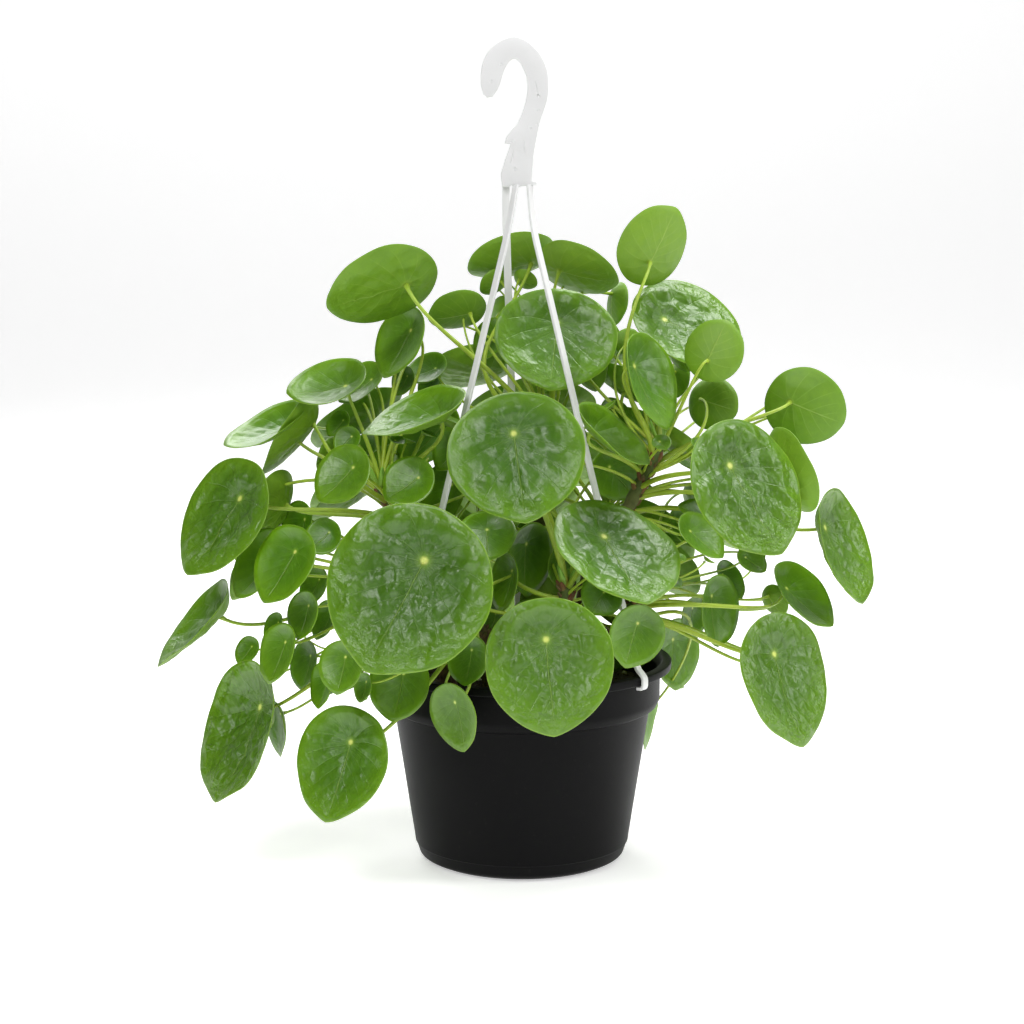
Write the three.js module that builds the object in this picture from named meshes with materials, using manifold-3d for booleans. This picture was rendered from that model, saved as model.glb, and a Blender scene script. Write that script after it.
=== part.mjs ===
// A round-leaved pilea in a black hanging pot, with a white three-armed hanger.
// Millimetres, +Z up. The origin is the middle of the pot's underside, and the front is -Y.

import * as THREE from 'three';
import { mergeVertices } from 'three/addons/utils/BufferGeometryUtils.js';
import Module from 'manifold-3d';

const wasm = await Module();
wasm.setup();

// ---------------------------------------------------------------- driving dimensions

// The pot, from its lip down to its foot.
const POT_HEIGHT = 123;
const LIP_RADIUS = 91.5;
const LIP_DEPTH = 5;
const LIP_RING = 6.5;
const COLLAR_RADIUS = 84.5;
const COLLAR_DEPTH = 20.5;
const CREASE_RADIUS = 78.2;
const CREASE_DEPTH = 4;
const FOOT_RADIUS = 65.2;
const FOOT_HEIGHT = 10;
const BASE_RADIUS = 57.2;
const POT_WALL = 2;
const POT_SIDES = 42;
const DRAIN_HOLES = 8;
const DRAIN_RADIUS = 4;
const DRAIN_RING = 38;

// The clearance between pieces that touch on the real object.
const GAP = 0.3;

const SOIL_TOP = 107;
const SOIL_DOME = 4;
const SOIL_SIDES = 24;

// The hanger: a flat hook and three flat straps with a clip each.
const HOOK_THICKNESS = 5;
const STRAP_WIDTH = 4.6;
const STRAP_THICKNESS = 2;

// Blades, stalks and trunks.
const BLADE_THICKNESS = 1.2;
const BLADE_WIDTH_SHARE = 0.95;
const CUP_YOUNG = 0.16;
const CUP_LOSS = 0.0011;
const CUP_LEAST = 0.045;
const TIP_POINT = 0.035;
const DOT_SHARE = 0.30;
const STALK_ROOT_RADIUS = 1.9;
const STALK_TIP_RADIUS = 1.25;
const STALK_STEPS = 5;
const TRUNK_RADIUS = 5.5;
const TRUNK_TIP_RADIUS = 3.4;
const TRUNK_BURIED = 45;
const TRUNK_STEPS = 5;
const HOLE_CLEARANCE = 0.4;

// The reference view: a 1024 pixel square seen from in front and a little above.
const VIEW_DISTANCE = 1400;
const VIEW_HEIGHT = 412;
const VIEW_SIDE = -6;
const VIEW_PITCH = THREE.MathUtils.degToRad(8.1);
const VIEW_FOCAL = 2333;
const VIEW_CENTRE = 512;

// The blades spread outwards and upwards from this point.
const HEART = new THREE.Vector3(0, 10, 190);
const UP = new THREE.Vector3(0, 0, 1);

// ---------------------------------------------------------------- the reference view

const EYE = new THREE.Vector3(VIEW_SIDE, -VIEW_DISTANCE, VIEW_HEIGHT);
const SIGHT = new THREE.Vector3(0, Math.cos(VIEW_PITCH), -Math.sin(VIEW_PITCH));
const SIGHT_UP = new THREE.Vector3(0, Math.sin(VIEW_PITCH), Math.cos(VIEW_PITCH));
const SIGHT_RIGHT = new THREE.Vector3(1, 0, 0);

// The point that the view shows at pixel (u, v), in the plane y = depth.
function seenAt(u, v, depth) {
  const ray = SIGHT.clone()
    .addScaledVector(SIGHT_RIGHT, (u - VIEW_CENTRE) / VIEW_FOCAL)
    .addScaledVector(SIGHT_UP, -(v - VIEW_CENTRE) / VIEW_FOCAL);
  return EYE.clone().addScaledVector(ray, (depth + VIEW_DISTANCE) / ray.y);
}

// The pixel at which the view shows a point.
function pixelOf(point) {
  const away = point.clone().sub(EYE);
  const scale = VIEW_FOCAL / away.dot(SIGHT);
  return [
    VIEW_CENTRE + scale * away.dot(SIGHT_RIGHT),
    VIEW_CENTRE - scale * away.dot(SIGHT_UP),
  ];
}

// ---------------------------------------------------------------- what grows on each stem

// foot is where the trunk leaves the soil, and crown is its top, in millimetres.
// Each blade: pixel of the tip, pixel of the opposite end, breadth in pixels, depth of its
// middle in millimetres, and the face that the view sees, 1 the upper and -1 the underside.
// A broad blade also gives its width as a share of its length, and a blade turned two ways
// how much longer it is than it looks.
const STEMS = {
  stem_right_high: {
    foot: [34, 6], crown: [84, -2, 255],
    blades: [
      [675, 206, 631, 282, 65, 20, -1],
      [745, 353, 635, 296, 76, 12, 1],
      [728, 320, 702, 380, 60, -14, -1],
      [670, 431, 638, 332, 44, -30, 1],
      [845, 424, 768, 389, 77, 20, -1],
      [782, 555, 716, 423, 104, -62, 1],
      [775, 427, 812, 512, 40, -8, -1],
      [864, 605, 832, 488, 44, 14, 1],
      [724, 557, 682, 514, 32, -22, 1],
      [678, 505, 720, 512, 20, 10, 1],
      [738, 412, 690, 396, 54, 42, -1],
      [651, 464, 581, 402, 28, -46, 1],
      [636, 330, 618, 352, 26, 44, -1],
    ],
  },
  stem_right_low: {
    foot: [44, -22], crown: [76, -30, 172],
    blades: [
      [833, 626, 779, 562, 38, 8, 1],
      [802, 747, 773, 612, 84, -40, 1],
      [784, 616, 768, 585, 24, 22, -1],
      [719, 648, 722, 574, 38, -12, 1],
      [766, 571, 740, 548, 24, 2, 1],
      [675, 691, 681, 618, 44, 48, 1],
    ],
  },
  stem_left_high: {
    foot: [-38, 12], crown: [-86, -8, 230],
    blades: [
      [189, 576, 252, 460, 76, -30, 1],
      [237, 562, 287, 470, 40, 12, -1],
      [223, 446, 305, 402, 28, 2, 1],
      [263, 475, 315, 391, 21, 14, -1],
      [286, 394, 366, 368, 42, 22, 1],
      [338, 402, 380, 364, 30, 32, 1],
      [361, 433, 465, 389, 32, -42, 1],
      [382, 378, 414, 306, 44, 18, 1],
      [319, 502, 362, 448, 50, -62, 1],
      [384, 500, 430, 464, 48, -52, 1],
      [336, 452, 356, 428, 26, -12, 1],
      [328, 436, 346, 411, 20, 2, 1],
    ],
  },
  stem_left_low: {
    foot: [-44, -20], crown: [-78, -28, 178],
    blades: [
      [217, 803, 251, 660, 66, -42, 1],
      [157, 666, 226, 579, 22, 0, 1],
      [264, 603, 300, 526, 57, -70, 1],
      [236, 598, 276, 528, 40, -22, 1],
      [268, 684, 284, 622, 34, -50, 1],
      [281, 757, 268, 698, 18, -30, 1],
      [238, 664, 254, 637, 22, -10, 1],
      [266, 642, 278, 612, 16, -10, 1],
      [298, 640, 306, 590, 30, -64, 1],
      [308, 552, 336, 522, 36, -18, 1],
    ],
  },
  stem_centre: {
    foot: [4, 26], crown: [18, 18, 255],
    blades: [
      [325, 308, 436, 263, 70, 0, -1],
      [466, 268, 554, 243, 42, 62, -1],
      [619, 283, 538, 254, 48, 50, -1],
      [550, 391, 561, 288, 126, 4, 1, 1.12],
      [427, 318, 486, 302, 38, 42, -1],
      [404, 378, 446, 358, 28, 62, 1],
      [480, 292, 506, 272, 22, 64, -1],
      [537, 286, 515, 272, 18, 70, -1],
    ],
  },
  stem_front_left: {
    foot: [-18, -40], crown: [-36, -54, 180],
    blades: [
      [365, 673, 447, 511, 168, -150, 1],
      [326, 822, 353, 706, 92, -92, 1],
      [487, 560, 487, 510, 60, -62, 1],
      [392, 722, 404, 652, 62, -88, 1],
      [465, 752, 442, 684, 44, -106, 1],
      [336, 695, 344, 640, 44, -112, 1],
      [318, 709, 322, 662, 22, -62, 1],
      [360, 703, 364, 672, 18, -80, 1],
      [500, 612, 506, 552, 28, -44, 1],
      [464, 686, 470, 634, 42, -106, 1],
    ],
  },
  stem_front_right: {
    foot: [20, -42], crown: [26, -54, 178],
    blades: [
      [526, 524, 508, 392, 142, -112, 1, 1.05],
      [649, 603, 590, 498, 104, -92, 1, 0.95, 1.2],
      [555, 738, 545, 597, 132, -140, 1],
      [636, 498, 600, 452, 54, 0, 1],
      [625, 668, 648, 606, 56, -72, 1],
      [526, 598, 536, 522, 44, -30, 1],
      [590, 614, 612, 580, 44, -58, 1],
    ],
  },
  stem_rear_left: { foot: [-30, 44], crown: [-52, 60, 205], blades: [] },
  stem_rear_right: { foot: [34, 42], crown: [54, 62, 212], blades: [] },
};

// The back of the plant, which the view doesn't show: a spiral of places on a dome round the
// crowns. A blade grows at each place that is clear of the others and hidden in the view.
const BACK_PLACES = 330;
const BACK_MOST = 34;
const BACK_FRONT_LIMIT = 24;
const BACK_BOTTOM = 62;
const BACK_TOP = 322;
const BACK_PEAK = 334;
const BACK_INWARD = 0.3;
const BACK_SHOULDER = 190;
const BACK_RADIUS = 152;
const BACK_LAYERS = [1, 0.76, 0.94];
const BACK_LENGTHS = [58, 88];
const BACK_LOW_TILT = 8;
const BACK_HIGH_TILT = 66;
const BACK_TWIST = 40;
const GOLDEN_ANGLE = Math.PI * (3 - Math.sqrt(5));
const GOLDEN_SHARE = (Math.sqrt(5) - 1) / 2;
const HIDDEN_OVAL = { u: 520, v: 470, across: 285, high: 160 };
const HIDDEN_BY_POT = { left: 402, right: 642, top: 668, bottom: 862 };

// ---------------------------------------------------------------- solids

function solidOf(geometry) {
  const bare = geometry.index ? geometry.clone() : geometry;
  bare.deleteAttribute('normal');
  bare.deleteAttribute('uv');
  const merged = mergeVertices(bare, 1e-4);
  return new wasm.Manifold(new wasm.Mesh({
    numProp: 3,
    vertProperties: new Float32Array(merged.attributes.position.array),
    triVerts: new Uint32Array(merged.index.array),
  }));
}

function geometryOf(solid) {
  const mesh = solid.getMesh();
  const geometry = new THREE.BufferGeometry();
  const positions = new Float32Array(mesh.numVert * 3);
  for (let i = 0; i < mesh.numVert; i += 1) {
    for (let axis = 0; axis < 3; axis += 1) {
      positions[3 * i + axis] = mesh.vertProperties[mesh.numProp * i + axis];
    }
  }
  geometry.setAttribute('position', new THREE.BufferAttribute(positions, 3));
  geometry.setIndex(new THREE.BufferAttribute(new Uint32Array(mesh.triVerts), 1));
  geometry.computeVertexNormals();
  return geometry;
}

function indexed(points, faces) {
  const geometry = new THREE.BufferGeometry();
  const positions = points.flatMap((point) => point.toArray());
  geometry.setAttribute('position', new THREE.Float32BufferAttribute(positions, 3));
  geometry.setIndex(faces);
  return geometry;
}

// A tapering rod along a row of points, closed at both ends.
function rod(points, rootRadius, tipRadius, sides) {
  const rings = [];
  let side = null;
  points.forEach((point, i) => {
    const before = points[Math.max(i - 1, 0)];
    const after = points[Math.min(i + 1, points.length - 1)];
    const along = after.clone().sub(before).normalize();
    if (!side) {
      side = Math.abs(along.z) > 0.9 ? new THREE.Vector3(1, 0, 0) : new THREE.Vector3(0, 0, 1);
    }
    side = side.clone().addScaledVector(along, -side.dot(along)).normalize();
    const other = along.clone().cross(side);
    const radius = rootRadius + (tipRadius - rootRadius) * (i / (points.length - 1));
    for (let s = 0; s < sides; s += 1) {
      const angle = (2 * Math.PI * s) / sides;
      rings.push(point.clone()
        .addScaledVector(side, radius * Math.cos(angle))
        .addScaledVector(other, radius * Math.sin(angle)));
    }
  });
  const faces = [];
  for (let i = 0; i + 1 < points.length; i += 1) {
    for (let s = 0; s < sides; s += 1) {
      const a = i * sides + s;
      const b = i * sides + ((s + 1) % sides);
      faces.push(a, b, b + sides, a, b + sides, a + sides);
    }
  }
  const last = (points.length - 1) * sides;
  for (let s = 1; s + 1 < sides; s += 1) {
    faces.push(0, s + 1, s, last, last + s, last + s + 1);
  }
  return indexed(rings, faces);
}

// ---------------------------------------------------------------- the pot

function lathe(profile, sides) {
  const points = profile.map(([radius, height]) => new THREE.Vector2(radius, height));
  const geometry = new THREE.LatheGeometry(points, sides);
  geometry.rotateX(Math.PI / 2);
  return geometry;
}

function makePot() {
  const collarFoot = POT_HEIGHT - LIP_DEPTH - COLLAR_DEPTH;
  const crease = collarFoot - CREASE_DEPTH;
  const innerTop = LIP_RADIUS - LIP_RING;
  const innerCollar = COLLAR_RADIUS - POT_WALL;
  const profile = [
    [0, POT_WALL],
    [BASE_RADIUS - 1, POT_WALL],
    [FOOT_RADIUS - POT_WALL, FOOT_HEIGHT],
    [CREASE_RADIUS - POT_WALL, crease],
    [innerCollar, collarFoot],
    [innerCollar, POT_HEIGHT - LIP_DEPTH],
    [innerTop, POT_HEIGHT - 1],
    [innerTop + 0.8, POT_HEIGHT],
    [LIP_RADIUS - 0.8, POT_HEIGHT],
    [LIP_RADIUS, POT_HEIGHT - 0.8],
    [LIP_RADIUS, POT_HEIGHT - LIP_DEPTH + 0.4],
    [LIP_RADIUS - 0.8, POT_HEIGHT - LIP_DEPTH],
    [COLLAR_RADIUS, POT_HEIGHT - LIP_DEPTH - 0.6],
    [COLLAR_RADIUS, collarFoot + 2],
    [COLLAR_RADIUS - 2.5, collarFoot - 2],
    [CREASE_RADIUS, crease],
    [FOOT_RADIUS, FOOT_HEIGHT],
    [FOOT_RADIUS - 2.5, 4],
    [BASE_RADIUS + 2.5, 0.8],
    [BASE_RADIUS, 0],
    [0, 0],
  ];
  let pot = solidOf(lathe(profile.reverse(), POT_SIDES));
  for (let i = 0; i < DRAIN_HOLES; i += 1) {
    const angle = (2 * Math.PI * (i + 0.5)) / DRAIN_HOLES;
    const hole = new THREE.CylinderGeometry(DRAIN_RADIUS, DRAIN_RADIUS, 4 * POT_WALL, 10);
    hole.rotateX(Math.PI / 2);
    hole.translate(DRAIN_RING * Math.cos(angle), DRAIN_RING * Math.sin(angle), 0);
    pot = pot.subtract(solidOf(hole));
  }
  return pot;
}

function makeSoil() {
  const collarFoot = POT_HEIGHT - LIP_DEPTH - COLLAR_DEPTH;
  const crease = collarFoot - CREASE_DEPTH;
  const inner = POT_WALL + GAP + 0.2;
  const profile = [
    [0, POT_WALL + GAP],
    [BASE_RADIUS - 2, POT_WALL + GAP],
    [FOOT_RADIUS - inner, FOOT_HEIGHT],
    [CREASE_RADIUS - inner, crease],
    [COLLAR_RADIUS - inner, collarFoot],
    [COLLAR_RADIUS - inner, SOIL_TOP - 3],
    [COLLAR_RADIUS - inner - 4, SOIL_TOP - 1],
    [40, SOIL_TOP + 0.6 * SOIL_DOME],
    [0, SOIL_TOP + SOIL_DOME],
  ];
  let soil = solidOf(lathe(profile, SOIL_SIDES));
  for (const stem of Object.values(STEMS)) {
    const [x, y] = stem.foot;
    const radius = TRUNK_RADIUS + 2 * HOLE_CLEARANCE;
    const depth = TRUNK_BURIED + GAP;
    const hole = new THREE.CylinderGeometry(radius, radius, depth + 20, 8);
    hole.rotateX(Math.PI / 2);
    hole.translate(x, y, SOIL_TOP - depth + (depth + 20) / 2);
    soil = soil.subtract(solidOf(hole));
  }
  return soil;
}

// ---------------------------------------------------------------- the hanger

// The hook's edge as pixels: the smooth outer curve, the foot with its nub, the shank, the
// rounded barb, the smooth throat and the blunt tip.
const HOOK_OUTER = [
  [484.3, 96.6], [480.7, 87], [480.3, 76], [484, 60], [495, 44], [513.6, 37], [527, 42],
  [539, 52], [547, 69], [549, 89], [546, 107], [538, 130], [533.5, 158], [532.6, 181],
];
const HOOK_FOOT = [[537.7, 182], [537, 185], [531, 187], [501, 187]];
const HOOK_SHANK = [[500.4, 171.5], [502.7, 167], [509.3, 144.6]];
const HOOK_BARB = [[504.4, 143.8], [506.4, 135], [511, 128.4], [517, 123.5]];
const HOOK_THROAT = [
  [522.8, 110.7], [526.8, 93.5], [526, 79], [521.5, 66], [514.2, 60], [508, 65], [501, 80],
  [497, 90],
];
const HOOK_TIP = [[493.6, 96.2], [491.5, 98], [487, 98.2]];

function makeHook() {
  const flat = ([u, v]) => {
    const point = seenAt(u, v, 0);
    return new THREE.Vector2(point.x, point.z);
  };
  const shape = new THREE.Shape();
  const start = flat(HOOK_OUTER[0]);
  shape.moveTo(start.x, start.y);
  shape.splineThru(HOOK_OUTER.slice(1).map(flat));
  for (const pixel of [...HOOK_FOOT, ...HOOK_SHANK]) {
    const point = flat(pixel);
    shape.lineTo(point.x, point.y);
  }
  const barb = flat(HOOK_BARB[0]);
  shape.lineTo(barb.x, barb.y);
  shape.splineThru(HOOK_BARB.slice(1).map(flat));
  shape.splineThru(HOOK_THROAT.map(flat));
  for (const pixel of HOOK_TIP) {
    const point = flat(pixel);
    shape.lineTo(point.x, point.y);
  }
  const geometry = new THREE.ExtrudeGeometry(shape, {
    depth: HOOK_THICKNESS, bevelEnabled: false, curveSegments: 3,
  });
  geometry.rotateX(Math.PI / 2);
  geometry.translate(0, HOOK_THICKNESS / 2, 0);
  return solidOf(geometry);
}

// Where each strap leaves the hook's foot and where it bends outwards, as pixels and depths,
// and the angle round the lip at which its clip sits.
const ARMS = {
  arm_rear: { top: [505.8, 190, 4], bend: [506.2, 225, 6], angle: 91 },
  arm_left: { top: [516, 190, -2], bend: [509.5, 225, -6], angle: 217.5 },
  arm_right: { top: [529.5, 190, -2], bend: [532.5, 225, -5], angle: 320.8 },
};

// The middle of a strap: down from close under the hook, over the lip, and round under it.
function armCourse({ top, bend, angle }) {
  const turn = THREE.MathUtils.degToRad(angle);
  const half = STRAP_THICKNESS / 2;
  const over = LIP_RADIUS + GAP + half;
  const clip = [
    [LIP_RADIUS - 4, POT_HEIGHT + 4.4],
    [LIP_RADIUS - 0.8, POT_HEIGHT + GAP + half + 0.5],
    [over, POT_HEIGHT - 0.6],
    [over, POT_HEIGHT - LIP_DEPTH - 0.5],
    [over - 1.2, POT_HEIGHT - LIP_DEPTH - 1.9],
    [over - 4.5, POT_HEIGHT - LIP_DEPTH - 1.9],
  ];
  return [
    seenAt(...top).setZ(seenAt(...HOOK_FOOT.at(-1), 0).z - 1.5 * GAP),
    seenAt(...bend),
    ...clip.map(([radius, height]) => new THREE.Vector3(
      radius * Math.cos(turn), radius * Math.sin(turn), height,
    )),
  ];
}

function makeArm(arm) {
  const turn = THREE.MathUtils.degToRad(arm.angle);
  const side = new THREE.Vector3(-Math.sin(turn), Math.cos(turn), 0);
  const centres = armCourse(arm);
  const points = [];
  centres.forEach((centre, i) => {
    const before = centres[Math.max(i - 1, 0)];
    const after = centres[Math.min(i + 1, centres.length - 1)];
    const along = after.clone().sub(before).normalize();
    const across = along.clone().cross(side).normalize();
    for (const [s, a] of [[-1, -1], [1, -1], [1, 1], [-1, 1]]) {
      points.push(centre.clone()
        .addScaledVector(side, (s * STRAP_WIDTH) / 2)
        .addScaledVector(across, (a * STRAP_THICKNESS) / 2));
    }
  });
  const faces = [];
  for (let i = 0; i + 1 < centres.length; i += 1) {
    for (let s = 0; s < 4; s += 1) {
      const a = 4 * i + s;
      const b = 4 * i + ((s + 1) % 4);
      faces.push(a, b, b + 4, a, b + 4, a + 4);
    }
  }
  const last = 4 * (centres.length - 1);
  faces.push(0, 2, 1, 0, 3, 2, last, last + 1, last + 2, last, last + 2, last + 3);
  return solidOf(indexed(points, faces));
}

// ---------------------------------------------------------------- how the blades lie

function blade(centre, length, width, along, normal) {
  return { centre, length, width, along, normal, across: normal.clone().cross(along) };
}

// A blade is a shallow bowl, and an old, large one is flatter.
function cupOf({ length }) {
  return length * Math.max(CUP_LEAST, CUP_YOUNG - CUP_LOSS * length);
}

// The yellow dot at the bottom of the bowl, where the stalk joins the blade.
function dotOf(leaf) {
  return leaf.centre.clone()
    .addScaledVector(leaf.along, (DOT_SHARE - 0.5) * leaf.length)
    .addScaledVector(leaf.normal, -cupOf(leaf));
}

// How a blade lies, from what the view shows of it: the midrib from end to end, and the
// breadth. Of the ways that fit, the one that faces outwards and up.
function poseBlade(row, shift) {
  const [tipU, tipV, endU, endV, breadth, depth, face] = row;
  const [widthShare = BLADE_WIDTH_SHARE, stretch = 1] = row.slice(7);
  const centre = seenAt((tipU + endU) / 2, (tipV + endV) / 2, depth + shift);
  const sight = centre.clone().sub(EYE).normalize();
  const scale = centre.clone().sub(EYE).dot(SIGHT) / VIEW_FOCAL;
  const right = SIGHT_RIGHT.clone().addScaledVector(sight, -sight.x).normalize();
  const up = right.clone().cross(sight);
  const reach = Math.hypot(tipU - endU, tipV - endV);
  const shareU = (tipU - endU) / reach;
  const shareV = (tipV - endV) / reach;
  const rib = right.clone().multiplyScalar(shareU).addScaledVector(up, -shareV);
  const broad = right.clone().multiplyScalar(shareV).addScaledVector(up, shareU);
  const length = scale * stretch * Math.max(reach, breadth / widthShare);
  const width = length * widthShare;
  const ribCos = Math.min(1, (reach * scale) / length);
  const ribSin = Math.sqrt(1 - ribCos * ribCos);
  const turnCos = Math.min(1, (breadth * scale) / width);
  const turnSin = Math.sqrt(1 - turnCos * turnCos);
  const outward = centre.clone().sub(HEART).normalize().addScaledVector(UP, 0.6);
  let best = null;
  for (const away of [1, -1]) {
    for (const turn of [1, -1]) {
      const along = rib.clone().multiplyScalar(ribCos).addScaledVector(sight, away * ribSin);
      const slope = rib.clone().multiplyScalar(-away * ribSin).addScaledVector(sight, ribCos);
      const across = broad.clone().multiplyScalar(turnCos).addScaledVector(slope, turn * turnSin);
      const normal = along.clone().cross(across);
      if (normal.dot(sight) * face > 0) {
        normal.negate();
      }
      const score = normal.dot(outward);
      if (!best || score > best.score + 1e-6) {
        best = { score, found: blade(centre, length, width, along, normal) };
      }
    }
  }
  return best.found;
}

// The outline, seen from above the upper face, from the middle of the blade. The angle turns
// from the tip, and the tip ends in a small point.
function outlineAt({ length, width }, angle) {
  const fromTip = Math.min(angle, 2 * Math.PI - angle);
  const point = TIP_POINT * (Math.exp(-((fromTip / 0.3) ** 2)) - 0.5);
  return [
    (length * (0.5 * Math.cos(angle) + point)) / (1 + TIP_POINT),
    0.5 * width * Math.sin(angle) * (1 - 0.06 * Math.cos(angle)),
  ];
}

function rimPoint(leaf, angle, share = 1) {
  const [x, y] = outlineAt(leaf, angle);
  return leaf.centre.clone()
    .addScaledVector(leaf.along, share * x)
    .addScaledVector(leaf.across, share * y)
    .addScaledVector(leaf.normal, (share - 1) * cupOf(leaf));
}

// How far a point is from a blade, taken as a disc as thick as the bowl is deep.
function gapToBlade(leaf, point) {
  const away = point.clone().sub(leaf.centre);
  const height = away.dot(leaf.normal) + 0.5 * cupOf(leaf);
  const x = away.dot(leaf.along) / (0.5 * leaf.length);
  const y = away.dot(leaf.across) / (0.5 * leaf.width);
  const beyond = Math.max(0, Math.hypot(x, y) - 1) * 0.25 * (leaf.length + leaf.width);
  const over = Math.max(0, Math.abs(height) - 0.5 * cupOf(leaf));
  return Math.hypot(over, beyond);
}

const anglesRound = (count) => Array.from({ length: count }, (_, i) => (2 * Math.PI * i) / count);
const RIM_ANGLES = anglesRound(12);

// True where the rim of one blade passes through the disc of the other.
function rimCrosses(one, other) {
  const side = (point) => point.clone().sub(other.centre).dot(other.normal);
  return RIM_ANGLES.some((angle, i) => {
    const a = rimPoint(one, angle);
    const b = rimPoint(one, RIM_ANGLES[(i + 1) % RIM_ANGLES.length]);
    const sideA = side(a);
    const sideB = side(b);
    return sideA * sideB < 0 && gapToBlade(other, a.lerp(b, sideA / (sideA - sideB))) < 3;
  });
}

function bladesGap(one, other) {
  if (one.centre.distanceTo(other.centre) > 0.55 * (one.length + other.length)) {
    return Infinity;
  }
  if (rimCrosses(one, other) || rimCrosses(other, one)) {
    return 0;
  }
  return Math.min(...RIM_ANGLES.flatMap((angle) => [
    gapToBlade(other, rimPoint(one, angle)),
    gapToBlade(other, rimPoint(one, angle, 0.5)),
    gapToBlade(one, rimPoint(other, angle)),
    gapToBlade(one, rimPoint(other, angle, 0.5)),
  ]));
}

// ---------------------------------------------------------------- where everything grows

// The clearances that are looked for, and the least that the stalk of a hidden blade takes.
const BLADE_CLEARANCE = 2.2;
const STALK_CLEARANCE = 3.2;
const STALK_LEAST = 1.2;
const STRAP_CLEARANCE = 1.5;
const POT_CLEARANCE = 5;
const STRAP_SPACING = 5;
// Blades that sit between these heights over the top of a trunk grow from its upper half.
const ROOTS_ABOVE = 70;
const ROOTS_SPREAD = 190;
// The moves along the line of sight that a blade tries, and the bends that its stalk tries.
const SHIFTS = [0, 5, -5, 10, -10, 15, -15, 20, -20, 26, -26, 32, -32];
const LIFTS = [0.12, 0.32, 0.52, -0.08];
const SWINGS = [0, 0.2, -0.2, 0.4, -0.4, 0.62, -0.62];
const LEADS = [0.28, 0.44, 0.14];

function trunkCurve({ foot, crown }) {
  const base = new THREE.Vector3(...foot, SOIL_TOP);
  const top = new THREE.Vector3(...crown);
  const rise = top.z - base.z;
  return new THREE.CubicBezierCurve3(
    base,
    base.clone().addScaledVector(UP, 0.35 * rise),
    base.clone().lerp(top, 0.6).addScaledVector(UP, 0.12 * rise),
    top,
  );
}

// A stalk grows from the upper half of its trunk, the higher the higher its blade sits.
function stalkRoot(curve, leaf) {
  const above = dotOf(leaf).z - curve.v3.z;
  const share = THREE.MathUtils.clamp(1 + (above - ROOTS_ABOVE) / ROOTS_SPREAD, 0, 1);
  return curve.getPoint(0.5 + 0.48 * share);
}

// A stalk rises from its trunk, swings to one side and meets the blade from below.
function stalkCurve(root, leaf, lift, swing, lead) {
  const end = dotOf(leaf).addScaledVector(leaf.normal, -BLADE_THICKNESS);
  const span = end.distanceTo(root);
  const side = end.clone().sub(root).cross(UP).normalize();
  return new THREE.CubicBezierCurve3(
    root,
    root.clone().lerp(end, 0.33).addScaledVector(UP, lift * span).addScaledVector(side, swing * span),
    end.clone().addScaledVector(leaf.normal, -lead * span).addScaledVector(side, 0.4 * swing * span),
    end,
  );
}

// Points all along the straps, for the blades and stalks to keep clear of.
function strapPoints() {
  return Object.values(ARMS).flatMap((arm) => {
    const course = armCourse(arm);
    return course.slice(1).flatMap((point, i) => {
      const count = Math.ceil(point.distanceTo(course[i]) / STRAP_SPACING);
      return Array.from({ length: count }, (_, k) => course[i].clone().lerp(point, k / count));
    });
  });
}

// How far a blade is from the pot, taken as a cylinder.
function potGap(leaf) {
  return Math.min(...RIM_ANGLES.map((angle) => {
    const point = rimPoint(leaf, angle);
    return Math.max(point.z - POT_HEIGHT, Math.hypot(point.x, point.y) - LIP_RADIUS);
  }));
}

// The blades that the view shows, each moved along the line of sight until it is clear.
function placeShownBlades(straps, trunks) {
  const placed = [];
  const fixed = [...straps, ...trunks];
  for (const [stem, { blades }] of Object.entries(STEMS)) {
    for (const row of blades) {
      let best = null;
      for (const shift of SHIFTS) {
        const leaf = poseBlade(row, shift);
        const gap = Math.min(
          ...placed.map((other) => bladesGap(leaf, other.leaf)),
          ...fixed.map((point) => gapToBlade(leaf, point) - STRAP_CLEARANCE),
          potGap(leaf),
        );
        if (!best || gap > best.gap) {
          best = { gap, stem, leaf };
        }
        if (gap > BLADE_CLEARANCE) {
          break;
        }
      }
      placed.push(best);
    }
  }
  return placed;
}

// The blade at one place of the spiral.
function backBlade(place) {
  const high = (place + 0.5) / BACK_PLACES;
  const z = THREE.MathUtils.lerp(BACK_BOTTOM, BACK_TOP, high);
  const above = Math.max(0, z - BACK_SHOULDER) / (BACK_PEAK - BACK_SHOULDER);
  const below = Math.max(0, BACK_SHOULDER - z);
  const layer = BACK_LAYERS[place % BACK_LAYERS.length];
  const radius = layer * (BACK_RADIUS * Math.sqrt(1 - above * above) - BACK_INWARD * below);
  const turn = place * GOLDEN_ANGLE;
  const out = new THREE.Vector3(Math.cos(turn), Math.sin(turn), 0);
  const centre = out.clone().multiplyScalar(radius).setZ(z);
  const tilt = THREE.MathUtils.degToRad(THREE.MathUtils.lerp(BACK_LOW_TILT, BACK_HIGH_TILT, high));
  const normal = out.clone().multiplyScalar(Math.cos(tilt)).addScaledVector(UP, Math.sin(tilt));
  const chance = (place * GOLDEN_SHARE) % 1;
  const twist = THREE.MathUtils.degToRad(BACK_TWIST * (2 * chance - 1));
  const along = UP.clone().negate().addScaledVector(normal, normal.z).normalize()
    .applyAxisAngle(normal, twist);
  const share = (place * GOLDEN_SHARE * GOLDEN_SHARE) % 1;
  const length = THREE.MathUtils.lerp(...BACK_LENGTHS, share);
  return blade(centre, length, length * BLADE_WIDTH_SHARE, along, normal);
}

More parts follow.
